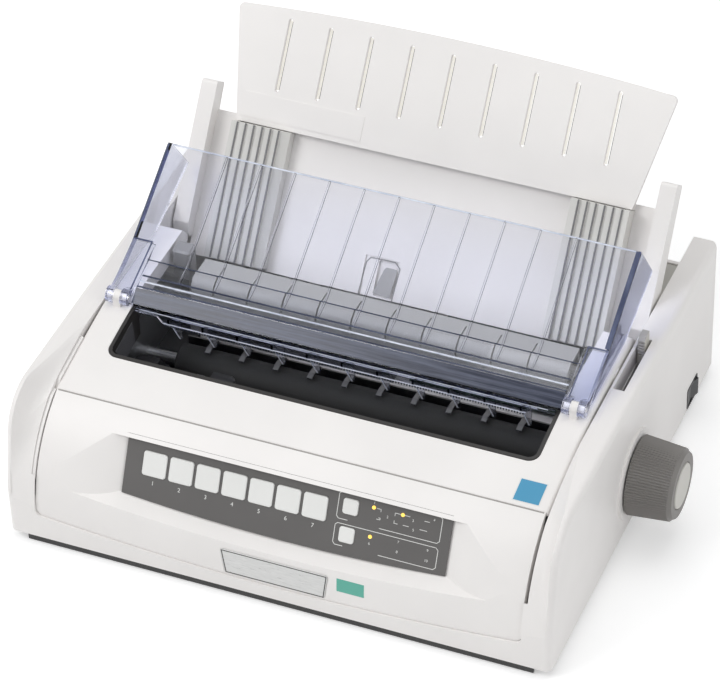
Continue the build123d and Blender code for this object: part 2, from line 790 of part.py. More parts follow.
with BuildPart() as clear_flap:
    # bent sheet whose front turns down into a stiff beam between the hinges
    with BuildSketch(side_plane(0)):
        with BuildLine():
            Polyline(
                (flap_rear_y, flap_rear_z),
                (flap_fold_y, flap_fold_z),
                (flap_lip_y, flap_lip_z),
                (hinge_y - 0.8, hinge_z - 3.6),
                (hinge_y + 0.4, hinge_z - 6),
                (hinge_y + 4, hinge_z - 4.3),
                (flap_lip_y + 2, flap_lip_z - flap_skin - 0.3),
                (flap_fold_y, flap_fold_z - flap_skin),
                (flap_rear_y - skin_y, flap_rear_z - skin_z),
                close=True,
            )
        make_face()
    extrude(amount=flap_half_width, both=True)
    # steps in the two long edges
    for side in (-1, 1):
        with BuildSketch(Plane.XY.offset(100)):
            with Locations((side * (flap_half_width + lug_inner_x) / 2, -20)):
                Rectangle(flap_half_width - lug_inner_x + 0.02, 46)
        extrude(amount=60, mode=Mode.SUBTRACT)
    # deep side walls
    for side in (-1, 1):
        with BuildSketch(side_plane(side * (flap_half_width - flap_skin))):
            with BuildLine():
                Polyline(
                    (flap_rear_y, flap_rear_z),
                    (flap_wall_rear_y, flap_wall_rear_z),
                    (flap_wall_front_y, flap_wall_front_z),
                    (hinge_y + 8, cover_arm_z + 0.8),
                    (hinge_y + 6, hinge_z + 3),
                    (3, hinge_z + 13.7),
                    (3, hinge_z + 16.1),
                    close=True,
                )
            make_face()
        extrude(amount=side * flap_skin)
        # strip joining the stepped edge to the wall
        with BuildSketch(side_plane(side * (lug_inner_x - 1))):
            with BuildLine():
                Polyline(
                    (3.0, hinge_z + 16.1),
                    (3.0, hinge_z + 13.2),
                    (hinge_y + 5, hinge_z - 3),
                    (hinge_y + 3, hinge_z + 1),
                    close=True,
                )
            make_face()
        extrude(amount=side * (flap_half_width - lug_inner_x + 1))
        # hinge barrels
        for start in (lug_inner_x, (lug_inner_x + lug_outer_x + knuckle_width) / 2 + seat_gap):
            with BuildSketch(side_plane(side * start)):
                with Locations((hinge_y, hinge_z)):
                    Circle(lug_radius)
                with Locations((hinge_y + 3.5, hinge_z)):
                    Rectangle(7, 6)
            barrel = (lug_outer_x - lug_inner_x - knuckle_width) / 2 - seat_gap
            extrude(amount=side * barrel)
        with BuildSketch(side_plane(side * lug_inner_x)):
            with Locations((hinge_y, hinge_z)):
                Circle(hinge_pin_radius + shaft_gap)
        extrude(amount=side * (lug_outer_x - lug_inner_x - 0.4), mode=Mode.SUBTRACT)
    # room for the knuckles of the top cover between the barrels
    for side in (-1, 1):
        with BuildSketch(side_plane(side * (lug_inner_x + lug_outer_x) / 2)):
            with Locations((hinge_y, hinge_z)):
                Circle(knuckle_radius + run_gap)
        extrude(amount=knuckle_width / 2 + seat_gap, both=True, mode=Mode.SUBTRACT)
    # stiffening ribs that run down the sheet
    for number in range(flap_rib_count):
        rib_x = -rib_span / 2 + number * flap_rib_pitch
        with BuildSketch(side_plane(rib_x)):
            with BuildLine():
                Polyline(
                    (flap_rear_y - 1, flap_rear_z - 1.5),
                    (flap_rear_y - 2, flap_rear_z + flap_rib_height - 1),
                    (flap_fold_y - 0.5, flap_fold_z + flap_rib_height),
                    (flap_lip_y + 10, flap_lip_z + 3.6),
                    (flap_lip_y + 10, flap_lip_z + 1),
                    (flap_fold_y, flap_fold_z - 1),
                    close=True,
                )
            make_face()
        extrude(amount=flap_rib_width / 2, both=True)
save(clear_flap, "clear_flap")

# ================================================================ fixed guides in the window
with BuildPart() as tear_bar:
    bar_half = window_half_width - seat_gap - trim_width - seat_gap
    bar_y = hinge_y - 1.4
    with BuildSketch(side_plane(0)):
        with BuildLine():
            Polyline(
                (bar_y - 2, cover_arm_z - 9),
                (bar_y, cover_arm_z - 9),
                (bar_y, cover_arm_z - 1),
                (bar_y - 2, cover_arm_z - 1),
                close=True,
            )
        make_face()
    extrude(amount=bar_half, both=True)
    # the plate is cut back below at both ends
    with BuildSketch(Plane.XZ.offset(-bar_y - 5)):
        for side in (-1, 1):
            with BuildLine():
                Polyline(
                    (side * (bar_half - 22), cover_arm_z - 10),
                    (side * (bar_half - 17), cover_arm_z - 4),
                    (side * (bar_half + 5), cover_arm_z - 4),
                    (side * (bar_half + 5), cover_arm_z - 10),
                    close=True,
                )
            make_face()
    extrude(amount=10, mode=Mode.SUBTRACT)
    # clear fingers that keep the sheet off the ribbon
    for number in range(flap_rib_count):
        finger_x = -rib_span / 2 + number * flap_rib_pitch
        with BuildSketch(side_plane(finger_x)):
            with BuildLine():
                Polyline(
                    (bar_y - 1.8, cover_arm_z - 9),
                    (bar_y - 0.2, cover_arm_z - 5),
                    (scale_bar_y - 2.5, cover_arm_z - 17),
                    (scale_bar_y + 0.5, cover_arm_z - 19),
                    (scale_bar_y - 1.5, cover_arm_z - 37.5),
                    (scale_bar_y - 4, cover_arm_z - 36),
                    (scale_bar_y - 14, cover_arm_z - 18),
                    close=True,
                )
            make_face()
        extrude(amount=finger_thickness / 2, both=True)
    with BuildSketch(side_plane(0)):
        with Locations((scale_bar_y - 2.6, cover_arm_z - 18.4)):
            Rectangle(2, 2)
    extrude(amount=rib_span / 2 + 6, both=True)
save(tear_bar, "tear_bar")

with BuildPart() as scale_bar:
    with BuildSketch(side_plane(0)):
        with Locations((scale_bar_y, scale_bar_z)):
            Rectangle(2.5, scale_bar_height)
    extrude(amount=window_half_width - seat_gap, both=True)
    with BuildSketch(Plane.XZ.offset(-scale_bar_y + 1.2)):
        with Locations((0, scale_bar_z - 1)):
            with GridLocations(flap_rib_pitch, 1, flap_rib_count - 1, 1):
                Rectangle(4, 5)
    extrude(amount=1.6)
save(scale_bar, "scale_bar")

# ================================================================ sheet exit guide behind the platen
with BuildPart() as exit_guide:
    guide_mid = (exit_guide_left + exit_guide_right) / 2
    with BuildSketch(side_plane(exit_guide_left)):
        with BuildLine():
            nose = Line((exit_guide_front_y, 96), (exit_guide_front_y, exit_guide_top_z - exit_guide_radius))
            crown = JernArc(nose @ 1, (0, 1), exit_guide_radius, -90)
            top = Line(crown @ 1, (exit_guide_rear_y, exit_guide_top_z))
            Polyline(
                top @ 1,
                (exit_guide_rear_y, frame_top),
                (exit_guide_rear_y - 3, frame_top),
                (exit_guide_rear_y - 3, exit_guide_top_z - 3),
                (exit_guide_front_y + exit_guide_radius, exit_guide_top_z - 3),
                (exit_guide_front_y + 3, exit_guide_top_z - exit_guide_radius),
                (exit_guide_front_y + 3, 96),
                nose @ 0,
            )
        make_face()
    extrude(amount=exit_guide_right - exit_guide_left)
    # foot rail that lies across the tops of the side frames
    with BuildSketch(side_plane(0)):
        with Locations((exit_guide_rear_y - 4, frame_top + 1.5)):
            Rectangle(8, 3)
    extrude(amount=frame_x + frame_thickness, both=True)
    # comb of slits, half a pitch away from the ribs of the flap
    for number in range(flap_rib_count - 1):
        slit_x = -rib_span / 2 + (number + 0.5) * flap_rib_pitch
        with BuildSketch(side_plane(slit_x)):
            with BuildLine():
                Polyline(
                    (exit_guide_front_y - 1, 100),
                    (exit_guide_front_y - 1, exit_guide_top_z + 1),
                    (exit_guide_rear_y - 4, exit_guide_top_z + 1),
                    (exit_guide_rear_y - 6, exit_guide_top_z - 1.5),
                    (exit_guide_front_y + exit_guide_radius, exit_guide_top_z - 1.5),
                    (exit_guide_front_y + 1.5, exit_guide_top_z - exit_guide_radius),
                    (exit_guide_front_y + 1.5, 100),
                    close=True,
                )
            make_face()
        extrude(amount=slit_width / 2, both=True, mode=Mode.SUBTRACT)
save(exit_guide, "exit_guide")

with BuildPart() as release_block:
    with BuildSketch(Plane.XY.offset(frame_top + 3)):
        with Locations((16 - frame_x, 26.5)):
            RectangleRounded(14, 13, 3)
    extrude(amount=25)
    chamfer(faces().sort_by(Axis.Z)[-1].edges(), 1.2)
save(release_block, "release_block")

# ================================================================ sheet metal chassis
for side, label in ((-1, "side_frame_left"), (1, "side_frame_right")):
    with BuildPart() as side_frame:
        inner_face = side * frame_x
        with BuildSketch(side_plane(inner_face)):
            with BuildLine():
                Polyline(
                    (-100, base_floor + case_wall),
                    (62, base_floor + case_wall),
                    (62, 70),
                    (exit_guide_rear_y + 4, frame_top),
                    (-6, frame_top),
                    (-40, 76),
                    (-100, 70),
                    close=True,
                )
            make_face()
            fillet(vertices().filter_by(lambda v: v.Y > 60), 5)
            with Locations((platen_y, platen_z)):
                Circle(platen_shaft_radius + shaft_gap, mode=Mode.SUBTRACT)
            with Locations((guide_shaft_y, guide_shaft_z)):
                Circle(guide_shaft_radius + shaft_gap, mode=Mode.SUBTRACT)
            with Locations((tractor_bar_y, tractor_bar_z)):
                Circle(tractor_bar_radius + shaft_gap, mode=Mode.SUBTRACT)
            if side < 0:
                with Locations((feed_motor_y, feed_motor_z)):
                    Circle(5, mode=Mode.SUBTRACT)
        extrude(amount=side * frame_thickness)
        # foot flange screwed to the tray
        with BuildSketch(Plane.XY.offset(base_floor + case_wall)):
            with Locations((side * (frame_x + 5), -19)):
                Rectangle(10, 162)
        extrude(amount=frame_thickness)
    save(side_frame, label)

with BuildPart() as deck_pan:
    with BuildSketch(side_plane(0)):
        with BuildLine():
            Polyline(
                (-97, 82),
                (-97, deck_z),
                (54, deck_z),
                (54, deck_z - 1.5),
                (-98.5, deck_z - 1.5),
                (-98.5, 82),
                close=True,
            )
        make_face()
        fillet(vertices().filter_by(lambda v: v.Y < -90 and v.Z < 20), 1.4)
    extrude(amount=frame_x - seat_gap, both=True)
    # upstanding rail that the front of the carriage slides along
    with BuildSketch(side_plane(0)):
        with Locations(((front_rail_y), (deck_z + rail_top_z) / 2)):
            Rectangle(1.5, rail_top_z - deck_z + 0.4)
    extrude(amount=frame_x - seat_gap, both=True)
    # pin of the idler pulley
    with BuildSketch(Plane(origin=(pulley_x, belt_mid_y, deck_z - 0.5))):
        Circle(pulley_pin_radius)
    extrude(amount=9)
save(deck_pan, "deck_pan")

guide_shaft = bar_x(
    -frame_x - frame_thickness - 2, frame_x + frame_thickness + 2, guide_shaft_y, guide_shaft_z, guide_shaft_radius
)
save(guide_shaft, "guide_shaft")

# ================================================================ platen and its drive
def gear_face(teeth, module, phase):
    """Toothed outline for a BuildSketch: a root disc with one tapered tooth per pitch."""
    pitch_radius = teeth * module / 2
    root_radius = pitch_radius - 1.25 * module
    Circle(root_radius)
    with PolarLocations(0, teeth, start_angle=phase):
        with BuildSketch(mode=Mode.PRIVATE) as tooth:
            with BuildLine():
                Polyline(
                    (root_radius - 0.6, -0.86 * module),
                    (pitch_radius, -0.6 * module),
                    (pitch_radius + module, -0.26 * module),
                    (pitch_radius + module, 0.26 * module),
                    (pitch_radius, 0.6 * module),
                    (root_radius - 0.6, 0.86 * module),
                    close=True,
                )
            make_face()
        add(tooth.sketch)


gear_x = -frame_x - frame_thickness - 1.2
mesh_angle = degrees(atan2(feed_motor_z - platen_z, feed_motor_y - platen_y))

platen_shaft = bar_x(gear_x - gear_width - 2, knob_inner_x + knob_length - 6, platen_y, platen_z, platen_shaft_radius)
save(platen_shaft, "platen_shaft")

with BuildPart() as platen:
    with BuildSketch(side_plane(-platen_half_length)):
        with Locations((platen_y, platen_z)):
            Circle(platen_radius)
            Circle(platen_shaft_radius, mode=Mode.SUBTRACT)
    extrude(amount=2 * platen_half_length)
    chamfer(edges().filter_by(GeomType.CIRCLE).filter_by(lambda e: e.radius > platen_radius - 1), 1)
save(platen, "platen")

with BuildPart() as platen_gear:
    with BuildSketch(Plane(origin=(gear_x, platen_y, platen_z), x_dir=(0, 1, 0), z_dir=(1, 0, 0))):
        gear_face(platen_gear_teeth, gear_module, mesh_angle)
        Circle(platen_shaft_radius, mode=Mode.SUBTRACT)
    extrude(amount=-gear_width)
save(platen_gear, "platen_gear")

with BuildPart() as feed_pinion:
    with BuildSketch(Plane(origin=(gear_x, feed_motor_y, feed_motor_z), x_dir=(0, 1, 0), z_dir=(1, 0, 0))):
        gear_face(pinion_teeth, gear_module, mesh_angle + 180 + 180 / pinion_teeth)
    extrude(amount=-gear_width)
    with BuildSketch(Plane(origin=(gear_x, feed_motor_y, feed_motor_z), x_dir=(0, 1, 0), z_dir=(1, 0, 0))):
        Circle(2.5)
    extrude(amount=frame_thickness + 1.2 + 0.4)
save(feed_pinion, "feed_pinion")

with BuildPart() as feed_motor:
    with BuildSketch(side_plane(-frame_x + 0.0)):
        with Locations((feed_motor_y, feed_motor_z)):
            RectangleRounded(28, 28, 4)
    extrude(amount=22)
    with BuildSketch(side_plane(-frame_x)):
        with Locations((feed_motor_y, feed_motor_z)):
            Circle(3.5)
    extrude(amount=1.5, mode=Mode.SUBTRACT)
save(feed_motor, "feed_motor")

# ribbed knob on the right end of the platen shaft
def ribbed_rim(radius):
    """Outline of the knob with its fine ribs, drawn inside a BuildLine."""
    rim = []
    for step in range(2 * knob_ribs):
        turn = radians(180 * step / knob_ribs)
        reach = radius - knob_rib_depth * (step % 2)
        rim.append((platen_y + reach * cos(turn), platen_z + reach * sin(turn)))
    Polyline(*rim, close=True)


with BuildPart() as platen_knob:
    for x, radius in ((knob_inner_x, knob_base_radius), (knob_inner_x + knob_length - 3, knob_tip_radius)):
        with BuildSketch(side_plane(x)):
            with BuildLine():
                ribbed_rim(radius)
            make_face()
    loft(ruled=True)
    # smooth front ring round the seat of the cap
    with BuildSketch(side_plane(knob_inner_x + knob_length - 3)):
        with Locations((platen_y, platen_z)):
            Circle(knob_tip_radius - knob_rib_depth)
    extrude(amount=3, taper=30)
    with BuildSketch(side_plane(knob_inner_x + knob_length - 1.6)):
        with Locations((platen_y, platen_z)):
            Circle(knob_cap_radius + 0.6)
    extrude(amount=3, mode=Mode.SUBTRACT)
    with BuildSketch(side_plane(knob_inner_x - 1)):
        with Locations((platen_y, platen_z)):
            Circle(platen_shaft_radius)
    extrude(amount=knob_length + 2, mode=Mode.SUBTRACT)
save(platen_knob, "platen_knob")

with BuildPart() as knob_cap:
    with BuildSketch(side_plane(knob_inner_x + knob_length - 1.6 + 0.05)):
        with Locations((platen_y, platen_z)):
            Circle(knob_cap_radius)
    extrude(amount=2.2)
    chamfer(faces().sort_by(Axis.X)[-1].edges(), 0.6)
save(knob_cap, "knob_cap")

# ================================================================ print head carriage
with BuildPart() as carriage:
    with BuildSketch(Plane(origin=(carriage_x, 0, deck_z + 6.5))):
        with Locations((0, -64)):
            Rectangle(carriage_width, 52)
        with Locations((0, -34)):
            Rectangle(14, 12)
    extrude(amount=5)
    with BuildSketch(side_plane(carriage_x)):
        with Locations((guide_shaft_y, guide_shaft_z)):
            Circle(guide_shaft_radius + 4)
        with Locations((guide_shaft_y, guide_shaft_z - 5)):
            Rectangle(2 * guide_shaft_radius + 8, 10)
    extrude(amount=carriage_width / 2, both=True)
    for side in (-1, 1):
        with BuildSketch(side_plane(carriage_x + side * (carriage_width / 2 - 1.5))):
            with BuildLine():
                Polyline((-80, deck_z + 8), (-44, deck_z + 8), (-44, 60), (-60, 66), (-80, 66), close=True)
            make_face()
        extrude(amount=1.5, both=True)
    with BuildSketch(side_plane(carriage_x)):
        with Locations((guide_shaft_y, guide_shaft_z)):
            Circle(guide_shaft_radius + shaft_gap)
    extrude(amount=carriage_width, both=True, mode=Mode.SUBTRACT)
    # belt clamp under the rear tongue
    with BuildSketch(Plane(origin=(carriage_x, belt_front_y, deck_z + 1.5))):
        Rectangle(12, 5)
        Rectangle(12, belt_thickness + 0.3, mode=Mode.SUBTRACT)
    extrude(amount=5)
save(carriage, "carriage")

with BuildPart() as print_head:
    head_half = carriage_width / 2 - 3 - seat_gap
    with BuildSketch(Plane(origin=(carriage_x, -60, 40))):
        RectangleRounded(2 * head_half, 30, 3)
    extrude(amount=22)
    # nose that carries the wires up to the platen
    with BuildSketch(Plane.XZ.offset(45.5)):
        with Locations((carriage_x, 49)):
            Rectangle(18, 16)
    extrude(amount=-12, taper=12)
    with BuildSketch(Plane.XZ.offset(34)):
        with Locations((carriage_x, 48)):
            Rectangle(6, 9)
    extrude(amount=-(34 + platen_y - platen_radius - 0.6))
    # cooling fins
    with BuildSketch(Plane(origin=(carriage_x, -60, 62))):
        Rectangle(2 * head_half - 2, 30)
    extrude(amount=2)
    with BuildSketch(Plane(origin=(carriage_x, -60, 64))):
        with GridLocations(1, 4.6, 1, 7):
            Rectangle(2 * head_half - 2, 1.4)
    extrude(amount=7)
save(print_head, "print_head")

with BuildPart() as ribbon_cartridge:
    with BuildSketch(Plane(origin=(carriage_x, 0, 66.3))):
        with Locations((0, -62)):
            RectangleRounded(76, 40, 6)
        with Locations((0, -56)):
            Rectangle(2 * head_half + 1, 41, mode=Mode.SUBTRACT)
    extrude(amount=12)
    chamfer(faces().sort_by(Axis.Z)[-1].edges().group_by(Axis.Y)[0], 1)
save(ribbon_cartridge, "ribbon_cartridge")

# belt drive under the platen
def pulley(x, label):
    with BuildPart() as wheel:
        with BuildSketch(Plane(origin=(x, belt_mid_y, deck_z + 1.2))):
            Circle(pulley_radius)
        extrude(amount=6)
        with BuildSketch(Plane(origin=(x, belt_mid_y, deck_z + 0.5))):
            Circle(pulley_radius + 1.5)
        extrude(amount=0.7)
        with BuildSketch(Plane(origin=(x, belt_mid_y, deck_z))):
            Circle(pulley_pin_radius + shaft_gap)
        extrude(amount=10, mode=Mode.SUBTRACT)
    save(wheel, label)


pulley(-pulley_x, "motor_pulley")
pulley(pulley_x, "idler_pulley")

with BuildPart() as drive_belt:
    with BuildSketch(Plane(origin=(0, belt_mid_y, deck_z + 1.5))):
        SlotCenterToCenter(2 * pulley_x, 2 * (pulley_radius + 0.15 + belt_thickness))
        SlotCenterToCenter(2 * pulley_x, 2 * (pulley_radius + 0.15), mode=Mode.SUBTRACT)
    extrude(amount=5)
save(drive_belt, "drive_belt")

with BuildPart() as carriage_motor:
    with BuildSketch(Plane(origin=(-pulley_x, belt_mid_y, deck_z + 7.6))):
        Circle(11)
    extrude(amount=26)
    with BuildSketch(Plane(origin=(-pulley_x - 6, belt_mid_y, deck_z + 7.6 + 26))):
        Rectangle(10, 14)
    extrude(amount=1.5)
    # flange that bolts to the side frame, and the shaft that carries the pulley
    with BuildSketch(Plane(origin=(-(frame_x + pulley_x - 11) / 2, belt_mid_y, deck_z + 7.6))):
        Rectangle(frame_x - pulley_x + 11, 24)
    extrude(amount=1.5)
    with BuildSketch(Plane(origin=(-pulley_x, belt_mid_y, deck_z + 1))):
        Circle(pulley_pin_radius)
    extrude(amount=7)
save(carriage_motor, "carriage_motor")

with BuildPart() as paper_pan:
    with BuildSketch(side_plane(0)):
        with BuildLine():
            outer = CenterArc((platen_y, platen_z), pan_radius + pan_thickness, -150, 130)
            inner = CenterArc((platen_y, platen_z), pan_radius, -150, 130)
            Line(outer @ 0, inner @ 0)
            Polyline(
                outer @ 1,
                (platen_y + pan_radius - 0.6, pan_rim_z),
                (platen_y + pan_radius - 0.6 - pan_thickness, pan_rim_z),
                inner @ 1,
            )
        make_face()
    extrude(amount=platen_half_length, both=True)
    # posts that stand on the deck
    post_reach = (pan_radius + pan_thickness / 2) ** 2 - 81
    for side in (-1, 1):
        with BuildSketch(Plane.XY.offset(deck_z)):
            with Locations((side * 100, platen_y + 9)):
                Rectangle(8, 6)
        extrude(amount=platen_z - post_reach ** 0.5 + 0.4 - deck_z)
    # tongues that bend forward over the platen and press the sheet to it
    for number in range(flap_rib_count - 1):
        tongue_x = -rib_span / 2 + (number + 0.5) * flap_rib_pitch
        with BuildSketch(side_plane(tongue_x)):
            with BuildLine():
                Polyline(
                    (platen_y + pan_radius - 0.8, pan_rim_z - 2),
                    (platen_y + pan_radius - 1.6, pan_rim_z - 1.4),
                    (platen_y + pan_radius - 5.4, platen_z + platen_radius + 2.6),
                    (platen_y + 1, platen_z + platen_radius + 4),
                    (platen_y - 4, platen_z + platen_radius + 2.8),
                    (platen_y - 4, platen_z + platen_radius + 3.8),
                    (platen_y + 1, platen_z + platen_radius + 5),
                    (platen_y + pan_radius - 4.6, platen_z + platen_radius + 3.4),
                    (platen_y + pan_radius - 0.7, pan_rim_z - 0.4),
                    close=True,
                )
            make_face()
        extrude(amount=tongue_width / 2, both=True)
save(paper_pan, "paper_pan")

# ================================================================ sheet support
def support_point(s, n):
    """A place on the sheet support in the side view: s up the slope, n towards the operator."""
    return (support_y + slope_y * s - slope_z * n, support_z + slope_z * s + slope_y * n)


with BuildPart() as support_frame:
    for side in (-1, 1):
        fin_inner_x = fin_outer_x - fin_width
        with BuildSketch(side_plane(side * fin_inner_x)):
            with BuildLine():
                Polyline(
                    support_point(0, 0),
                    support_point(fin_length, 0),
                    support_point(fin_length, 6 - fin_depth),
                    support_point(12, -fin_depth),
                    support_point(-9, -16),
                    support_point(-9, -6),
                    close=True,
                )
            make_face()
            fillet(vertices(), 2.4)
        extrude(amount=side * fin_width)
        with BuildSketch(side_plane(side * fin_outer_x)):
            with Locations((support_pivot_y, support_pivot_z)):
                Circle(support_pin_radius)
        extrude(amount=side * (rail_inner_x - fin_outer_x - 0.5))
    with BuildSketch(support_plane.offset(board_n - board_thickness)):
        with Locations((0, (board_foot_s + board_top_s) / 2)):
            Rectangle(2 * fin_inner_x + 1, board_top_s - board_foot_s)
    extrude(amount=board_thickness)
    # finger recess of the handle
    with BuildSketch(support_plane.offset(board_n - 1.2)):
        with Locations((-22, board_foot_s + 14)):
            Rectangle(26, 29)
        with Locations((-22, board_foot_s + 12)):
            Rectangle(23.6, 29.6, mode=Mode.SUBTRACT)
    extrude(amount=4, mode=Mode.SUBTRACT)
    with BuildSketch(support_plane.offset(board_n - 2.2)):
        with Locations((-17, board_foot_s + 14)):
            RectangleRounded(15, 26, 2)
    extrude(amount=4, mode=Mode.SUBTRACT)
    # stiffening ribs on the back
    with BuildSketch(support_plane.offset(board_n - board_thickness - 5)):
        with GridLocations(100, 1, 3, 1):
            with Locations((0, 34)):
                Rectangle(2, 84)
    extrude(amount=5.5)
save(support_frame, "support_frame")

with BuildPart() as support_extension:
    with BuildSketch(support_plane.offset(extension_n - extension_thickness)):
        with BuildLine():
            crest = ThreePointArc(
                (-extension_top_width / 2, extension_top_s),
                (0, extension_top_s + extension_arch),
                (extension_top_width / 2, extension_top_s),
            )
            Polyline(
                crest @ 1,
                (extension_foot_width / 2, extension_foot_s),
                (-extension_foot_width / 2, extension_foot_s),
                crest @ 0,
            )
        make_face()
        fillet(vertices().group_by(Axis.Z)[-1], 4)
        with Locations((0, slot_centre_s)):
            with GridLocations(slot_pitch, 1, slot_count, 1):
                SlotOverall(slot_length, slot_width, rotation=90, mode=Mode.SUBTRACT)
    extrude(amount=extension_thickness)
    # deep lip that stands on the lower board
    with BuildSketch(support_plane.offset(board_n)):
        with Locations((0, extension_foot_s + 2)):
            Rectangle(extension_foot_width, 4)
    extrude(amount=extension_n - board_n)
    # raised pad beside the left guide
    with BuildSketch(support_plane.offset(extension_n - 0.5)):
        with Locations((49 - guide_outer_x, extension_foot_s + 13)):
            Rectangle(92, 18)
    extrude(amount=0.9)
save(support_extension, "support_extension")


def sheet_guide(side, label):
    inner_x = guide_outer_x - guide_width
    foot = Plane(
        origin=(0, *support_point(guide_foot_s, 0)), x_dir=(1, 0, 0), z_dir=(0, slope_y, slope_z)
    )
    low = -board_n - seat_gap
    with BuildPart() as guide:
        with BuildSketch(foot):
            with BuildLine():
                Polyline(
                    (side * guide_outer_x, low),
                    (side * guide_outer_x, -guide_front_n),
                    (side * (inner_x + 6), -guide_front_n + 1.5),
                    (side * inner_x, 3),
                    (side * inner_x, low),
                    (side * (inner_x + 2), low),
                    (side * (inner_x + 2), 4.5),
                    (side * (guide_outer_x - 4), 1.5),
                    (side * (guide_outer_x - 4), low),
                    close=True,
                )
            make_face()
            for number in range(guide_ridges):
                x = inner_x + 7 + number * (guide_width - 12) / (guide_ridges - 1)
                with Locations((side * x, -guide_front_n + 0.4)):
                    Rectangle(1.2, 2.6)
        extrude(amount=guide_top_s - guide_foot_s)
    save(guide, label)


sheet_guide(-1, "sheet_guide_left")
sheet_guide(1, "sheet_guide_right")

# ================================================================ paper lever and power switch
with BuildPart() as paper_lever:
    with BuildSketch(side_plane(lever_x - lever_thickness / 2)):
        with BuildLine():
            Polyline(
                (lever_pivot_y - 5, lever_pivot_z),
                (lever_pivot_y - 4, 96),
                (lever_pivot_y - 6, 101),
                (lever_pivot_y - 6, lever_top_z - 2),
                (lever_pivot_y - 3, lever_top_z),
                (lever_pivot_y + 4, lever_top_z),
                (lever_pivot_y + 5, 100),
                (lever_pivot_y + 3, 96),
                (lever_pivot_y + 5, lever_pivot_z),
                close=True,
            )
        make_face()
        with Locations((lever_pivot_y, lever_pivot_z)):
            Circle(7.5)
            Circle(lever_pin_radius + shaft_gap, mode=Mode.SUBTRACT)
    extrude(amount=lever_thickness)
    # grip ribs across the tab
    with BuildSketch(Plane.XZ.offset(-lever_pivot_y + 6)):
        with Locations((lever_x, lever_top_z - 9)):
            with GridLocations(1, 2.6, 1, 5):
                Rectangle(lever_thickness + 1, 1)
    extrude(amount=-0.9, mode=Mode.SUBTRACT)
save(paper_lever, "paper_lever")

with BuildPart() as switch_frame:
    with BuildSketch(side_plane(rail_inner_x + 2.6)):
        with Locations((switch_y, switch_z)):
            RectangleRounded(switch_length, switch_height, 1.8)
    extrude(amount=half_width + 0.4 - rail_inner_x - 2.6)
    with BuildSketch(side_plane(rail_inner_x + 5)):
        with Locations((switch_y, switch_z)):
            Rectangle(switch_length - 2.4, switch_height - 3)
    extrude(amount=rail_width, mode=Mode.SUBTRACT)
    with BuildSketch(Plane.XY.offset(switch_z - switch_height / 2 + 1)):
        with Locations((switch_pivot_x, switch_y)):
            Circle(1.5)
    extrude(amount=switch_height - 2)
save(switch_frame, "switch_frame")

with BuildPart() as power_rocker:
    rocker_half = switch_length / 2 - 2.2
    rocker_reach = half_width - switch_pivot_x
    rocker_plane = Plane(
        origin=(switch_pivot_x, switch_y, switch_z - switch_height / 2 + 1.5 + seat_gap),
        x_dir=(cos(radians(rocker_tilt)), -sin(radians(rocker_tilt)), 0),
        z_dir=(0, 0, 1),
    )
    with BuildSketch(rocker_plane):
        with BuildLine():
            Polyline(
                (rocker_reach + 1.2, -rocker_half),
                (rocker_reach - 0.6, 0),
                (rocker_reach + 1.2, rocker_half),
                (rocker_reach - 3, rocker_half),
                (-2.6, 3),
                (-2.6, -3),
                (rocker_reach - 3, -rocker_half),
                close=True,
            )
        make_face()
        Circle(1.5 + shaft_gap, mode=Mode.SUBTRACT)
    extrude(amount=switch_height - 3 - 2 * seat_gap)
save(power_rocker, "power_rocker")

# ================================================================ rear of the machine
with BuildPart() as rear_deck:
    deck_rear_y = rear_y - case_wall - seat_gap
    with BuildSketch(Plane.XY.offset(rear_deck_z)):
        with Locations((0, (rear_deck_front_y + deck_rear_y) / 2)):
            Rectangle(2 * (well_x - seat_gap), deck_rear_y - rear_deck_front_y)
    extrude(amount=3)
    with BuildSketch(Plane.XY.offset(rear_deck_z + 2.5)):
        with Locations((0, deck_rear_y - 25.2)):
            with GridLocations(12, 1, 24, 1):
                Rectangle(3, 22)
    extrude(amount=1.5)
save(rear_deck, "rear_deck")

tractor_bar = bar_x(
    -frame_x - frame_thickness - 3, frame_x + frame_thickness + 3, tractor_bar_y, tractor_bar_z, tractor_bar_radius
)
save(tractor_bar, "tractor_bar")

for side, label in ((-1, "tractor_left"), (1, "tractor_right")):
    with BuildPart() as tractor:
        with BuildSketch(side_plane(side * tractor_x)):
            with Locations((tractor_bar_y + 1, tractor_bar_z + 2)):
                SlotOverall(30, 22, rotation=35)
            with Locations((tractor_bar_y, tractor_bar_z)):
                Circle(tractor_bar_radius + shaft_gap, mode=Mode.SUBTRACT)
        extrude(amount=tractor_width / 2, both=True)
        # pins that take the holes along the sheet's edge
        tractor_top = Plane(
            origin=(side * tractor_x, tractor_bar_y + 1, tractor_bar_z + 2),
            x_dir=(1, 0, 0),
            z_dir=(0, -sin(radians(35)), cos(radians(35))),
        )
        with BuildSketch(tractor_top.offset(10)):
            with GridLocations(1, 6.35, 1, 2):
                Circle(1.6)
        extrude(amount=3, taper=8)
    save(tractor, label)

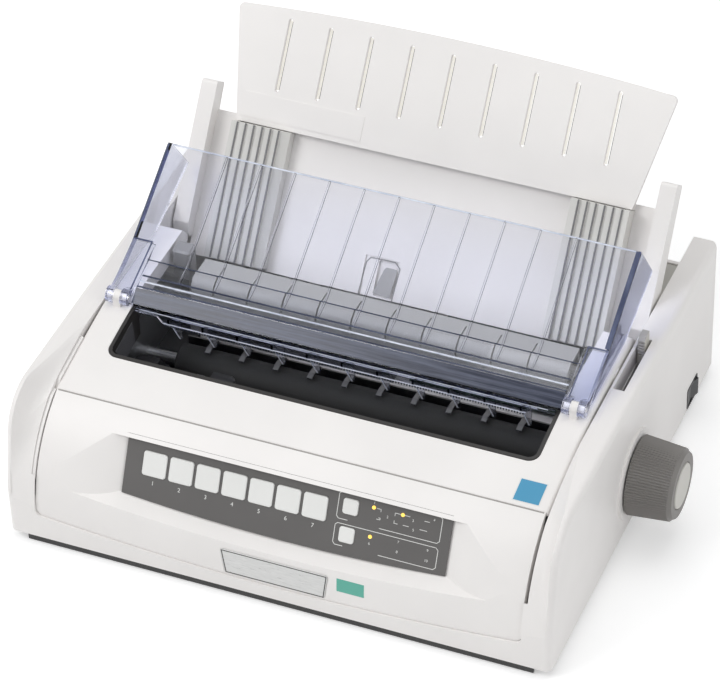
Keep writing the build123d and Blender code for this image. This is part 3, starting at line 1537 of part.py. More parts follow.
with BuildPart() as main_board:
    with BuildSketch(Plane.XY.offset(board_z)):
        with Locations((board_x, board_y)):
            Rectangle(board_width, board_depth)
    extrude(amount=1.6)
    with BuildSketch(Plane.XY.offset(base_floor + case_wall)):
        with Locations((board_x, board_y)):
            with GridLocations(board_width - 14, board_depth - 12, 2, 2):
                Circle(3)
    extrude(amount=board_z - base_floor - case_wall)
    with BuildSketch(Plane.XY.offset(board_z + 1.6)):
        with Locations((board_x - 15, board_y - 5)):
            Rectangle(34, 34)
        with Locations((board_x + 35, board_y + 7)):
            Rectangle(16, 40)
    extrude(amount=3.4)
    # socket for the data cable
    with BuildSketch(Plane.XZ.offset(-rear_y)):
        with Locations((port_x, port_z)):
            RectangleRounded(57, 13.2, 2)
    extrude(amount=14)
    with BuildSketch(Plane.XY.offset(board_z + 1.6)):
        with Locations((port_x, rear_y - 15)):
            Rectangle(57, 8)
    extrude(amount=port_z + 6 - board_z - 1.6)
    with BuildSketch(Plane.XZ.offset(-rear_y)):
        with Locations((port_x, port_z)):
            RectangleRounded(50, 8, 1.5)
    extrude(amount=6, mode=Mode.SUBTRACT)
save(main_board, "main_board")

with BuildPart() as power_supply:
    with BuildSketch(Plane.XY.offset(base_floor + case_wall)):
        with Locations((supply_x, supply_y)):
            Rectangle(supply_width, supply_depth)
    extrude(amount=supply_height)
    # folded steel cover, open below, with the transformer hanging from its roof
    with BuildSketch(Plane.XY.offset(base_floor + case_wall)):
        with Locations((supply_x, supply_y)):
            Rectangle(supply_width - 2 * shield_thickness, supply_depth - 2 * shield_thickness)
            with Locations((34, 4)):
                Rectangle(52, 44, mode=Mode.SUBTRACT)
    extrude(amount=supply_height - shield_thickness, mode=Mode.SUBTRACT)
    with BuildSketch(Plane.XY.offset(base_floor + case_wall + supply_height - 2)):
        with Locations((supply_x - 26, supply_y)):
            with GridLocations(12, 1, 6, 1):
                SlotOverall(60, 4, rotation=90)
    extrude(amount=3, mode=Mode.SUBTRACT)
    # mains inlet at its rear, with three flat contacts
    with BuildSketch(Plane.XZ.offset(-rear_y)):
        with Locations((inlet_x, inlet_z)):
            RectangleRounded(29.4, 21.4, 2)
    extrude(amount=rear_y - supply_front_y - supply_depth + 1)
    with BuildSketch(Plane.XZ.offset(-rear_y)):
        with Locations((inlet_x, inlet_z)):
            RectangleRounded(24, 16, 4)
    extrude(amount=12, mode=Mode.SUBTRACT)
    with BuildSketch(Plane.XZ.offset(-rear_y + 12)):
        with Locations((inlet_x, inlet_z)):
            with Locations((-7, -2), (0, 3), (7, -2)):
                Rectangle(1.5, 5)
    extrude(amount=-8)
save(power_supply, "power_supply")
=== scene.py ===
"""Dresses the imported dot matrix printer: the finish of every surface, the printed marks, the light and dark
edges of its clear parts, the stage and the camera.

+X is the operator's right, +Y the rear and +Z up, from a point midway between the four feet, level with their
soles. Sizes and places are in millimetres, and MM turns them into Blender's metres. The bump, noise and
density of materials, the floor and the lamps are in metres from the start.
"""
import math

import bmesh
import bpy
from mathutils import Matrix, Vector

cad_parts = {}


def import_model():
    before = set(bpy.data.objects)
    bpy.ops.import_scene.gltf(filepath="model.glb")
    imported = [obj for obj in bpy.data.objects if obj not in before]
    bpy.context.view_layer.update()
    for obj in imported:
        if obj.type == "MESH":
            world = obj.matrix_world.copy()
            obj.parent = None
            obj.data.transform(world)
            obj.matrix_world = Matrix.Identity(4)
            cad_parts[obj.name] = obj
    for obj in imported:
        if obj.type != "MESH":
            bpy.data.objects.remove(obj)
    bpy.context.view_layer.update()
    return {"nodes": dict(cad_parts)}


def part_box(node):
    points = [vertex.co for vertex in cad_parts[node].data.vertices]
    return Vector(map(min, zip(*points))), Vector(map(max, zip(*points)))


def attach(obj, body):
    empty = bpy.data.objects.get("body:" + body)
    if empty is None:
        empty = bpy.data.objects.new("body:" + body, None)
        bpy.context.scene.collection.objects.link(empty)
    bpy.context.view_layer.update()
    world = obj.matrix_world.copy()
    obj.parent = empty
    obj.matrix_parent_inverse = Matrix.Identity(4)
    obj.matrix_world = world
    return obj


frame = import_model()
nodes = frame["nodes"]

MM = 0.001
RIGHTWARDS = (1, 0, 0)
REARWARDS = (0, 1, 0)
DOWNWARDS = (0, 0, -1)
DIAGONAL = math.sqrt(0.5)


# ---------------------------------------------------------------- flat places on the object
class Face:
    """A flat place on the object: x across, s down the slope, lift along its normal."""

    def __init__(self, origin, across, down):
        self.origin = Vector(origin)
        self.across = Vector(across).normalized()
        self.down = Vector(down).normalized()
        self.normal = self.down.cross(self.across).normalized()

    def point(self, x, s, lift):
        """A point, in metres."""
        return (self.origin + self.across * x + self.down * s + self.normal * lift) * MM

    def moved(self, s, lift):
        """The parallel face whose origin is s further down and lift higher."""
        return Face(self.origin + self.down * s + self.normal * lift, self.across, self.down)


PANEL_TOP = Vector((0, -137.3, 94.2))
PANEL_FOOT = Vector((0, -156.4, 54.0))
BADGE_TOP_Z = 40.6
SUPPORT_LINE = (0, 73.0, 105.0)  # on the sheet guides' face, where the support leaves the case
SUPPORT_SLOPE = math.radians(54)

panel = Face(PANEL_TOP, RIGHTWARDS, PANEL_FOOT - PANEL_TOP)
badge = Face((0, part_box("badge_plate")[0][1] / MM, BADGE_TOP_Z), RIGHTWARDS, DOWNWARDS)
support = Face(SUPPORT_LINE, RIGHTWARDS, (0, -math.cos(SUPPORT_SLOPE), -math.sin(SUPPORT_SLOPE)))


# ---------------------------------------------------------------- how materials are made
NOISE_RANGE = (0.3, 0.7)  # holds nearly all values of a noise texture
CLOUD_SCALE = 14
GRAIN_SCALE = 2600
GRAIN_DEPTH = 0.00003
GRAIN_GLOSS = 0.06  # how far grain moves the roughness either way
SCRATCH_DEPTH = 0.00002
SCRATCH_SHADE = 0.86
SCRATCH_GLOSS = (-0.08, 0.1)  # how far scratches move the roughness
CLEAR_IOR = 1.5
CLEAR_GLOSS = (0.018, 0.045)
CLEAR_SHADOW = 0.75  # the share of every colour that the shadow of clear plastic lets through
HAZE_SCALE = 35
HAZE_DEPTH = 0.0004
HAZE_STRENGTH = 0.2
RIDGE_FADE = 0.2
STREAK_TINTS = (-0.3, 1.1)  # beyond 0 to 1, so that some streaks are fully dark
STREAK_GLOSS = (0.12, 0.24)
GLOW_SCALE = 900
GLOW_SHADE = 0.8
GLOW_ROUGHNESS = 0.3


def new_material(name):
    """A material with nodes, its tree and its shader."""
    material = bpy.data.materials.new(name)
    material.use_nodes = True
    tree = material.node_tree
    return material, tree, tree.nodes["Principled BSDF"]


def link(tree, start, end):
    tree.links.new(start, end)


def object_coordinates(tree, stretch=(1, 1, 1)):
    coordinates = tree.nodes.new("ShaderNodeTexCoord")
    mapping = tree.nodes.new("ShaderNodeMapping")
    mapping.inputs["Scale"].default_value = stretch
    link(tree, coordinates.outputs["Object"], mapping.inputs["Vector"])
    return mapping.outputs["Vector"]


def noise(tree, vector, scale, detail=2.0, rough=0.5):
    texture = tree.nodes.new("ShaderNodeTexNoise")
    texture.inputs["Scale"].default_value = scale
    texture.inputs["Detail"].default_value = detail
    texture.inputs["Roughness"].default_value = rough
    link(tree, vector, texture.inputs["Vector"])
    return texture.outputs["Fac"]


def map_range(tree, value, source, target):
    """Maps one range of a value onto another, and holds it there."""
    node = tree.nodes.new("ShaderNodeMapRange")
    node.inputs["From Min"].default_value = source[0]
    node.inputs["From Max"].default_value = source[1]
    node.inputs["To Min"].default_value = target[0]
    node.inputs["To Max"].default_value = target[1]
    link(tree, value, node.inputs["Value"])
    return node.outputs["Result"]


def spread(tree, value, low=0, high=1):
    """Maps noise onto low to high."""
    return map_range(tree, value, NOISE_RANGE, (low, high))


def largest(tree, values):
    """The largest of several values."""
    most = values[0]
    for value in values[1:]:
        node = tree.nodes.new("ShaderNodeMath")
        node.operation = "MAXIMUM"
        link(tree, most, node.inputs[0])
        link(tree, value, node.inputs[1])
        most = node.outputs[0]
    return most


def shaded(colour, share):
    """A colour with a share of its brightness."""
    return tuple(c * share for c in colour)


def two_tints(tree, shader, factor, first, second):
    """Blends the shader's colour from a first tint, where the factor is 0, to a second."""
    mix = tree.nodes.new("ShaderNodeMix")
    mix.data_type = "RGBA"
    mix.inputs["A"].default_value = (*first, 1)
    mix.inputs["B"].default_value = (*second, 1)
    link(tree, factor, mix.inputs["Factor"])
    link(tree, mix.outputs["Result"], shader.inputs["Base Color"])


def bump(tree, shader, height, distance, strength=1.0):
    node = tree.nodes.new("ShaderNodeBump")
    node.inputs["Distance"].default_value = distance
    node.inputs["Strength"].default_value = strength
    link(tree, height, node.inputs["Height"])
    link(tree, node.outputs["Normal"], shader.inputs["Normal"])


def grained(tree, shader, vector, roughness, scale=GRAIN_SCALE, depth=GRAIN_DEPTH):
    """Spark-eroded grain, in the surface and in its gloss."""
    grain = noise(tree, vector, scale, detail=2, rough=0.6)
    gloss = spread(tree, grain, roughness - GRAIN_GLOSS, roughness + GRAIN_GLOSS)
    link(tree, gloss, shader.inputs["Roughness"])
    bump(tree, shader, grain, depth)


def moulded(name, colour, roughness=0.5, grain=GRAIN_SCALE, depth=GRAIN_DEPTH, mottle=0.025):
    """Moulded plastic: grained, with a faint cloudiness in its colour."""
    material, tree, shader = new_material(name)
    vector = object_coordinates(tree)
    cloud = spread(tree, noise(tree, vector, CLOUD_SCALE, detail=3))
    light = tuple(min(1.0, c) for c in shaded(colour, 1 + mottle))
    two_tints(tree, shader, cloud, shaded(colour, 1 - mottle), light)
    grained(tree, shader, vector, roughness, grain, depth)
    return material


def ridged(name, light, dark, node, place, height, roughness=0.5):
    """Moulded plastic with painted shade: darker where a node stands more than a height over a face, on its
    ridges.
    """
    material, tree, shader = new_material(name)
    to_node = node.matrix_world.inverted()
    normal = to_node.to_3x3() @ place.normal
    level = (to_node @ (place.origin * MM)).dot(normal) + height * MM
    vector = object_coordinates(tree)
    rise = tree.nodes.new("ShaderNodeVectorMath")
    rise.operation = "DOT_PRODUCT"
    rise.inputs[1].default_value = normal
    link(tree, vector, rise.inputs[0])
    on_ridge = map_range(tree, rise.outputs["Value"], (level, level + RIDGE_FADE * MM), (0, 1))
    two_tints(tree, shader, on_ridge, light, dark)
    grained(tree, shader, vector, roughness)
    return material


def brushed(name, colour, roughness, stretch, metallic=1.0, scale=900):
    """Metal with fine scratches along one direction."""
    material, tree, shader = new_material(name)
    shader.inputs["Metallic"].default_value = metallic
    lines = noise(tree, object_coordinates(tree, stretch), scale, detail=3, rough=0.7)
    two_tints(tree, shader, spread(tree, lines), shaded(colour, SCRATCH_SHADE), colour)
    gloss = spread(tree, lines, *(roughness + change for change in SCRATCH_GLOSS))
    link(tree, gloss, shader.inputs["Roughness"])
    bump(tree, shader, lines, SCRATCH_DEPTH)
    return material


def clear_plastic(name, tint, density):
    """Tinted clear plastic, deeper in colour along its edges, that lets the lamps through."""
    material, tree, shader = new_material(name)
    shader.inputs["Base Color"].default_value = (1, 1, 1, 1)
    shader.inputs["Transmission Weight"].default_value = 1.0
    shader.inputs["IOR"].default_value = CLEAR_IOR
    haze = noise(tree, object_coordinates(tree), HAZE_SCALE, detail=3)
    link(tree, spread(tree, haze, *CLEAR_GLOSS), shader.inputs["Roughness"])
    bump(tree, shader, haze, HAZE_DEPTH, HAZE_STRENGTH)
    path = tree.nodes.new("ShaderNodeLightPath")
    through = tree.nodes.new("ShaderNodeBsdfTransparent")
    through.inputs["Color"].default_value = (*(CLEAR_SHADOW + (1 - CLEAR_SHADOW) * c for c in tint), 1)
    mix = tree.nodes.new("ShaderNodeMixShader")
    link(tree, path.outputs["Is Shadow Ray"], mix.inputs[0])
    link(tree, shader.outputs[0], mix.inputs[1])
    link(tree, through.outputs[0], mix.inputs[2])
    output = tree.nodes["Material Output"]
    link(tree, mix.outputs[0], output.inputs["Surface"])
    depth = tree.nodes.new("ShaderNodeVolumeAbsorption")
    depth.inputs["Color"].default_value = (*tint, 1)
    depth.inputs["Density"].default_value = density
    link(tree, depth.outputs[0], output.inputs["Volume"])
    return material


def streaked(name, dark, light, stretch, scale, glow=0.0):
    """Thick clear plastic as it shows edge on, painted as an opaque colour: its blue tint darkened as painted
    shade, with long light streaks as painted highlights.
    """
    material, tree, shader = new_material(name)
    lines = noise(tree, object_coordinates(tree, stretch), scale, detail=4, rough=0.75)
    two_tints(tree, shader, spread(tree, lines, *STREAK_TINTS), dark, light)
    link(tree, spread(tree, lines, *STREAK_GLOSS), shader.inputs["Roughness"])
    shader.inputs["Emission Color"].default_value = (*light, 1)
    shader.inputs["Emission Strength"].default_value = glow
    return material


def glowing(name, colour, strength):
    """Plastic that glows: a lamp's lens that light shines through from behind, and painted light on faces in
    shade.
    """
    material, tree, shader = new_material(name)
    cloud = spread(tree, noise(tree, object_coordinates(tree), GLOW_SCALE, detail=2))
    two_tints(tree, shader, cloud, shaded(colour, GLOW_SHADE), colour)
    shader.inputs["Emission Color"].default_value = (*colour, 1)
    shader.inputs["Emission Strength"].default_value = strength
    shader.inputs["Roughness"].default_value = GLOW_ROUGHNESS
    return material


# ---------------------------------------------------------------- materials of the CAD nodes
SCRATCHES_ALONG_X = (0.02, 1, 1)
SCRATCHES_ALONG_Y = (1, 0.1, 1)
GUIDE_RIDGES = 2.2  # the sheet guides are dark above this height over the support's face

WHITE = moulded("white_plastic", (0.855, 0.832, 0.815), 0.46)
# The sheet guides are painted dark above a height over the support's face, as painted shade on their raised
# parts.
GUIDE_WITH_PAINTED_SHADE = ridged("guide_plastic", (0.70, 0.69, 0.66), (0.17, 0.17, 0.175), nodes["sheet_guide_left"],
               support, GUIDE_RIDGES)
# The exit chute is pale plastic, coloured grey here as painted shade.
EXIT_PAINTED_SHADE = moulded("exit_plastic_painted_shade", (0.38, 0.375, 0.355), 0.46)
# Also the colour of the painted shade lines in the handle's groove and along the support's slots.
BLOCK_AND_PAINTED_SHADE = moulded("block_plastic", (0.27, 0.265, 0.26), 0.5)
LEVER = moulded("lever_plastic", (0.52, 0.50, 0.46), 0.50)
# The rear deck is housing plastic, coloured grey here as painted shade in the recess behind the cover.
REAR_DECK_PAINTED_SHADE = moulded("rear_deck_painted_shade", (0.46, 0.45, 0.42), 0.52)
PANEL = moulded("panel_plastic", (0.124, 0.119, 0.116), 0.42, grain=3200, mottle=0.06)
KEY = moulded("key_plastic", (0.82, 0.82, 0.80), 0.38, grain=3000, depth=0.00001)
BADGE = brushed("badge_plate", (0.72, 0.72, 0.71), 0.34, (0.15, 1, 1), metallic=0.15)
TRIM = moulded("trim_plastic", (0.030, 0.028, 0.027), 0.34)
KNOB = moulded("knob_plastic", (0.205, 0.194, 0.184), 0.50, grain=2200)
KNOB_CAP = moulded("knob_cap_plastic", (0.575, 0.56, 0.52), 0.46)
BLACK = moulded("black_plastic", (0.022, 0.022, 0.024), 0.40)
GREY = moulded("grey_plastic", (0.25, 0.26, 0.29), 0.45)
GEAR = moulded("gear_plastic", (0.62, 0.61, 0.57), 0.42)
RUBBER = moulded("rubber", (0.028, 0.028, 0.028), 0.72, grain=1500, depth=0.00006)
STEEL = brushed("ground_steel", (0.58, 0.58, 0.59), 0.28, SCRATCHES_ALONG_X)
SHEET_STEEL = brushed("plated_sheet", (0.42, 0.43, 0.44), 0.40, SCRATCHES_ALONG_Y)
# Dark sheet steel. On the bottom plate its darkness is painted shadow under the case's edge.
DARK_STEEL_AND_PAINTED_SHADOW = brushed("dark_sheet_and_painted_shadow", (0.20, 0.20, 0.205), 0.42, SCRATCHES_ALONG_Y)
PAINTED = moulded("grey_paint", (0.22, 0.22, 0.22), 0.5)
CAST = brushed("cast_aluminium", (0.34, 0.34, 0.35), 0.46, (1, 1, 1), scale=700)
# The main board is darkened nearly black as painted shade inside the case.
BOARD_PAINTED_SHADE = moulded("circuit_board_painted_shade", (0.020, 0.045, 0.026), 0.45)
LENS = glowing("lamp_lens", (1.0, 0.62, 0.12), 0.9)
CLEAR = clear_plastic("clear_flap_plastic", (0.51, 0.55, 0.74), 100)
CLEAR_DARK = clear_plastic("tear_bar_plastic", (0.22, 0.30, 0.58), 190)

FINISH = {
    WHITE: ("base_pan", "upper_housing", "front_fascia", "top_cover", "support_frame", "support_extension"),
    GUIDE_WITH_PAINTED_SHADE: ("sheet_guide_left", "sheet_guide_right"),
    EXIT_PAINTED_SHADE: ("exit_guide",),
    LEVER: ("paper_lever",),
    BLOCK_AND_PAINTED_SHADE: ("release_block",),
    REAR_DECK_PAINTED_SHADE: ("rear_deck",),
    PANEL: ("control_panel",),
    KEY: [name for name in nodes if "key_" in name],
    BADGE: ("badge_plate",),
    TRIM: ("window_trim",),
    KNOB: ("platen_knob",),
    KNOB_CAP: ("knob_cap",),
    BLACK: ("carriage", "ribbon_cartridge", "tractor_left", "tractor_right", "switch_frame", "power_rocker",
            "feed_motor", "carriage_motor"),
    GREY: ("scale_bar",),
    GEAR: ("platen_gear", "feed_pinion", "motor_pulley", "idler_pulley"),
    RUBBER: ("platen", "drive_belt", "foot_front_left", "foot_front_right", "foot_rear_left",
             "foot_rear_right"),
    STEEL: ("guide_shaft", "platen_shaft", "tractor_bar"),
    SHEET_STEEL: ("side_frame_left", "side_frame_right", "deck_pan"),
    DARK_STEEL_AND_PAINTED_SHADOW: ("paper_pan", "bottom_plate"),
    PAINTED: ("power_supply",),
    CAST: ("print_head",),
    BOARD_PAINTED_SHADE: ("main_board",),
    LENS: ("light_guide",),
    CLEAR: ("clear_flap",),
    CLEAR_DARK: ("tear_bar",),
}
for material, names in FINISH.items():
    for name in names:
        for slot in nodes[name].material_slots:
            slot.material = material


# ---------------------------------------------------------------- materials of the pieces added here
INK_DEPTH = 0.000005  # depth of the grain in ink and dark lines

SHADE = moulded("shaded_plastic", (0.42, 0.415, 0.41), 0.50)
# The slot ribs glow as painted light, so that their faces in shade read pale.
SLOT_WALL_PAINTED_LIGHT = glowing("slot_wall_painted_light", (0.80, 0.775, 0.70), 0.42)
# Opaque stand-ins for thick clear plastic seen edge on: painted shade with long painted highlight streaks.
# clear_shine is a painted highlight that also glows a little.
BEAM = streaked("clear_beam", (0.014, 0.019, 0.042), (0.085, 0.10, 0.155), (0.03, 1, 1), 420)
BEAM_EDGE = streaked("clear_edge", (0.045, 0.055, 0.11), (0.11, 0.13, 0.22), (1, 0.2, 0.2), 200)
BEAM_SHINE = streaked("clear_shine", (0.30, 0.33, 0.42), (0.62, 0.65, 0.72), (0.2, 1, 1), 300, glow=0.25)
WALL_TINT = clear_plastic("clear_wall", (0.45, 0.50, 0.68), 2600)
WALL_CLEAR = clear_plastic("clear_wall_left", (0.60, 0.62, 0.72), 500)
WALL_GREY = moulded("wall_grey", (0.105, 0.105, 0.115), 0.4)
SEAM_LINE = moulded("seam_line", (0.33, 0.315, 0.30), 0.5, depth=INK_DEPTH)
INK = moulded("white_ink", (0.78, 0.78, 0.76), 0.5, grain=4000, depth=INK_DEPTH)
BLUE_INK = moulded("blue_sticker", (0.055, 0.30, 0.50), 0.35, depth=INK_DEPTH)
GREEN_INK = moulded("green_sticker", (0.10, 0.42, 0.33), 0.35, depth=INK_DEPTH)
DARK_LINE = moulded("dark_line", (0.035, 0.034, 0.034), 0.5, depth=INK_DEPTH)


# ---------------------------------------------------------------- how pieces are made
# finish stands for a material, the body to ride on and the record's slot
STROKE_END = 0.35  # how far a printed line runs on past its ends, in line widths
NUMBER_LIFT = 0.03
SHEET_THICKNESS = 0.06
SHEET_STEPS = 8


def new_object(name, data):
    made = bpy.data.objects.new(name, data)
    bpy.context.scene.collection.objects.link(made)
    return made


def piece(name, vertices, faces, material, body, slot_name):
    """A mesh with its faces turned outwards, on a body."""
    mesh = bpy.data.meshes.new(name)
    mesh.from_pydata([tuple(v) for v in vertices], [], faces)
    mesh.update()
    faced = bmesh.new()
    faced.from_mesh(mesh)
    bmesh.ops.recalc_face_normals(faced, faces=faced.faces)
    faced.to_mesh(mesh)
    faced.free()
    mesh.materials.append(material)
    made = new_object(name, mesh)
    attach(made, body)


def prism(place, outline, levels, start=0):
    """Vertices and faces of a flat outline between two levels over a face, numbered from start."""
    count = len(outline)
    vertices = [place.point(x, s, level) for level in levels for x, s in outline]
    faces = [tuple(start + i for i in range(count)), tuple(start + count + i for i in reversed(range(count)))]
    for i in range(count):
        j = (i + 1) % count
        faces.append((start + i, start + count + i, start + count + j, start + j))
    return vertices, faces


def prisms(name, place, outlines, levels, *finish):
    """A piece of one or more prisms over a face."""
    vertices, faces = [], []
    for outline in outlines:
        more, sides = prism(place, outline, levels, len(vertices))
        vertices += more
        faces += sides
    piece(name, vertices, faces, *finish)


def strokes(name, place, lines, width, levels, *finish):
    """Thin lines printed over a face, along given polylines."""
    outlines = []
    for line in lines:
        for (x0, s0), (x1, s1) in zip(line, line[1:]):
            run = Vector((x1 - x0, s1 - s0)).normalized() * width
            side = Vector((-run.y, run.x)) / 2
            ahead = run * STROKE_END
            outlines.append([
                (x0 - ahead.x + side.x, s0 - ahead.y + side.y),
                (x1 + ahead.x + side.x, s1 + ahead.y + side.y),
                (x1 + ahead.x - side.x, s1 + ahead.y - side.y),
                (x0 - ahead.x - side.x, s0 - ahead.y - side.y),
            ])
    prisms(name, place, outlines, levels, *finish)


def numeral(name, text, place, x, s, size, material, body, slot_name):
    """A plain printed number, centred on x and standing on s."""
    curve = bpy.data.curves.new(name, "FONT")
    curve.body = text
    curve.size = size * MM
    curve.align_x = "CENTER"
    curve.extrude = NUMBER_LIFT * MM
    temporary = new_object(name + "_curve", curve)
    bpy.context.view_layer.update()
    mesh = bpy.data.meshes.new_from_object(temporary.evaluated_get(bpy.context.evaluated_depsgraph_get()))
    bpy.data.objects.remove(temporary)
    axes = Matrix((place.across, -place.down, place.normal)).transposed().to_4x4()
    mesh.transform(Matrix.Translation(place.point(x, s, NUMBER_LIFT)) @ axes)
    mesh.materials.clear()
    mesh.materials.append(material)
    made = new_object(name, mesh)
    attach(made, body)


def surface(node, start, direction):
    """Where a ray meets a CAD node, in metres, and the normal there."""
    to_node = node.matrix_world.inverted()
    local_start = to_node @ (Vector(start) * MM)
    _, place, normal, _ = node.ray_cast(local_start, to_node.to_3x3() @ Vector(direction))
    return node.matrix_world @ place, (node.matrix_world.to_3x3() @ normal).normalized()


def shell(low, high):
    """Vertices and faces of a closed sheet between two grids of points of the same size."""
    rows, columns = len(low), len(low[0])
    top = rows * columns
    vertices = [point for grid in (low, high) for row in grid for point in row]
    faces = []
    for i in range(rows - 1):
        for j in range(columns - 1):
            a = i * columns + j
            b, c, d = a + 1, a + columns + 1, a + columns
            faces += [(a, b, c, d), (top + d, top + c, top + b, top + a)]
    rim = list(range(columns))
    rim += [i * columns + columns - 1 for i in range(1, rows)]
    rim += [(rows - 1) * columns + j for j in reversed(range(columns - 1))]
    rim += [i * columns for i in reversed(range(1, rows - 1))]
    for a, b in zip(rim, rim[1:] + rim[:1]):
        faces.append((b, a, top + a, top + b))
    return vertices, faces


def draped(name, node_name, corners, direction, lift, *finish):
    """A thin sheet laid on a curved CAD face, by rays from its four corners, top left and top right first."""
    top_left, top_right, foot_right, foot_left = (Vector(corner) for corner in corners)
    low, high = [], []
    for i in range(SHEET_STEPS + 1):
        left = top_left.lerp(foot_left, i / SHEET_STEPS)
        right = top_right.lerp(foot_right, i / SHEET_STEPS)
        starts = [left.lerp(right, j / SHEET_STEPS) for j in range(SHEET_STEPS + 1)]
        row = [surface(nodes[node_name], start, direction) for start in starts]
        low.append([place + normal * (lift - SHEET_THICKNESS) * MM for place, normal in row])
        high.append([place + normal * lift * MM for place, normal in row])
    piece(name, *shell(low, high), *finish)


def ribbon(name, path, span, thickness, *finish):
    """A flat strip over a span of x, along a path of (y, z) points, thickened to its left-hand side."""
    low, high = [], []
    for i, (y, z) in enumerate(path):
        before, after = path[max(i - 1, 0)], path[min(i + 1, len(path) - 1)]
        run = Vector((after[0] - before[0], after[1] - before[1])).normalized() * thickness
        low.append([Vector((x, y, z)) * MM for x in span])
        high.append([Vector((x, y - run.y, z + run.x)) * MM for x in span])
    piece(name, *shell(low, high), *finish)


def above(start, end, lift):
    """Both ends of a straight path of (y, z) points, moved off it to its left-hand side."""
    run = Vector((end[0] - start[0], end[1] - start[1])).normalized() * lift
    return [(y - run.y, z + run.x) for y, z in (start, end)]


def mirrored(side, inner, outer):
    """The span of x between two distances from the middle, on the side that is -1 or 1."""
    return sorted((side * inner, side * outer))


# ---------------------------------------------------------------- print on the control panel
PRINTED = (INK, "chassis", "key_plastic")
PRINT_LEVELS = (-0.02, 0.06)
LAMP_LINE_WIDTH = 0.45
LAMP_GROUP_X = (37, 38.5, 109, 110.7)  # left side, both ends of the straight top, right side
LAMP_GROUPS = ((3.7, 22.6, 45, 68), (25.8, 41.2, 44, 70))  # top, foot, both sides of the gap in the foot
TOP_CORNER = 1.5
FOOT_CORNER = 1.6
LAMP_MARK_WIDTH = 0.4
LAMP_MARKS = (
    ((64.6, 9.2), (67.4, 9.2), (67.4, 11.0)),
    ((66.5, 15.4), (67.6, 15.4), (67.6, 16.6), (65, 16.6)),
    ((77.5, 11.2), (77.5, 9.2), (88, 9.2)),
    ((98.5, 9.6), (102, 9.6)),
    ((77.5, 14.6), (77.5, 16.4), (80, 16.4)),
    ((84, 16.2), (88, 16.2)),
    ((96, 16.2), (101, 16.2)),
)
LAMP_NUMBERS = ((62.2, 6.6), (72.5, 14.2), (90.5, 12.2), (105.0, 8.0), (91.5, 18.6), (62.5, 35.6),
                (82.5, 29.4), (82.5, 36.4), (103.5, 30.0), (103.5, 37.2))
LAMP_NUMBER_SIZE = 2.6
KEY_FIRST_X = -96.4
KEY_PITCH = 19.6
KEY_COUNT = 7
KEY_NUMBER_S = 33.6
KEY_NUMBER_SIZE = 4.2


def lamp_group(top, foot, gap_left, gap_right):
    """The line round a group of lamps, with cut corners, open in its foot where a label stood."""
    left, top_left, top_right, right = LAMP_GROUP_X
    upper = top + TOP_CORNER
    lower = foot - FOOT_CORNER
    return [(gap_left, foot), (top_left, foot), (left, lower), (left, upper), (top_left, top),
            (top_right, top), (right, upper), (right, lower), (top_right, foot), (gap_right, foot)]


def panel_print():
    """Lines, marks and plain numbers at the lamps and under the keys."""
    groups = [lamp_group(*group) for group in LAMP_GROUPS]
    strokes("lamp_group_outlines", panel, groups, LAMP_LINE_WIDTH, PRINT_LEVELS, *PRINTED)
    for i in range(KEY_COUNT):
        x = KEY_FIRST_X + KEY_PITCH * i
        numeral(f"key_number_{i + 1}", str(i + 1), panel, x, KEY_NUMBER_S, KEY_NUMBER_SIZE, *PRINTED)
    strokes("lamp_marks", panel, LAMP_MARKS, LAMP_MARK_WIDTH, PRINT_LEVELS, *PRINTED)
    for i, (x, s) in enumerate(LAMP_NUMBERS):
        numeral(f"lamp_number_{i + 1}", str(i + 1), panel, x, s, LAMP_NUMBER_SIZE, *PRINTED)


panel_print()


# ---------------------------------------------------------------- badge plate and labels
BADGE_LINE = [(-38.3, 0.9), (38.3, 0.9), (35.6, 20.1), (-35.6, 20.1)]
BADGE_LINE_WIDTH = 0.7
BADGE_LINE_LEVELS = (-0.07, 0.07)
BLUE_LABEL = (152.0, -102.6, 171.6, -121.4)  # on the cover: left, rear, right, front
GREEN_LABEL = (45.6, 40.6, 65.4, 29.6)  # on the fascia: left, top, right, foot
LABEL_EDGE = 0.8
LABEL_LIFT = 0.09
LABEL_PRINT_LIFT = 0.17
OVER_COVER_Z = 130
AHEAD_OF_CASE_Y = -190


def badge_outline():
    """A dark line round the badge plate, which is bare."""
    strokes("badge_outline", badge, [BADGE_LINE + BADGE_LINE[:1]], BADGE_LINE_WIDTH, BADGE_LINE_LEVELS,
            DARK_LINE, "chassis", "trim_plastic")


def inset(rectangle, margin):
    """Corners of a rectangle moved inwards, from the top left by the top right."""
    left, top, right, foot = rectangle
    left += margin
    top -= margin
    right -= margin
    foot += margin
    return [(left, top), (right, top), (right, foot), (left, foot)]


def labels():
    """Plain labels where the photograph has stickers."""
    for name, margin, lift, ink in (("cover_label_edge", 0, LABEL_LIFT, INK),
                                    ("cover_label", LABEL_EDGE, LABEL_PRINT_LIFT, BLUE_INK)):
        corners = [(x, y, OVER_COVER_Z) for x, y in inset(BLUE_LABEL, margin)]
        draped(name, "top_cover", corners, DOWNWARDS, lift, ink, "cover", "key_plastic")
    corners = [(x, AHEAD_OF_CASE_Y, z) for x, z in inset(GREEN_LABEL, 0)]
    draped("fascia_label", "front_fascia", corners, REARWARDS, LABEL_LIFT,
           GREEN_INK, "chassis", "key_plastic")


badge_outline()
labels()


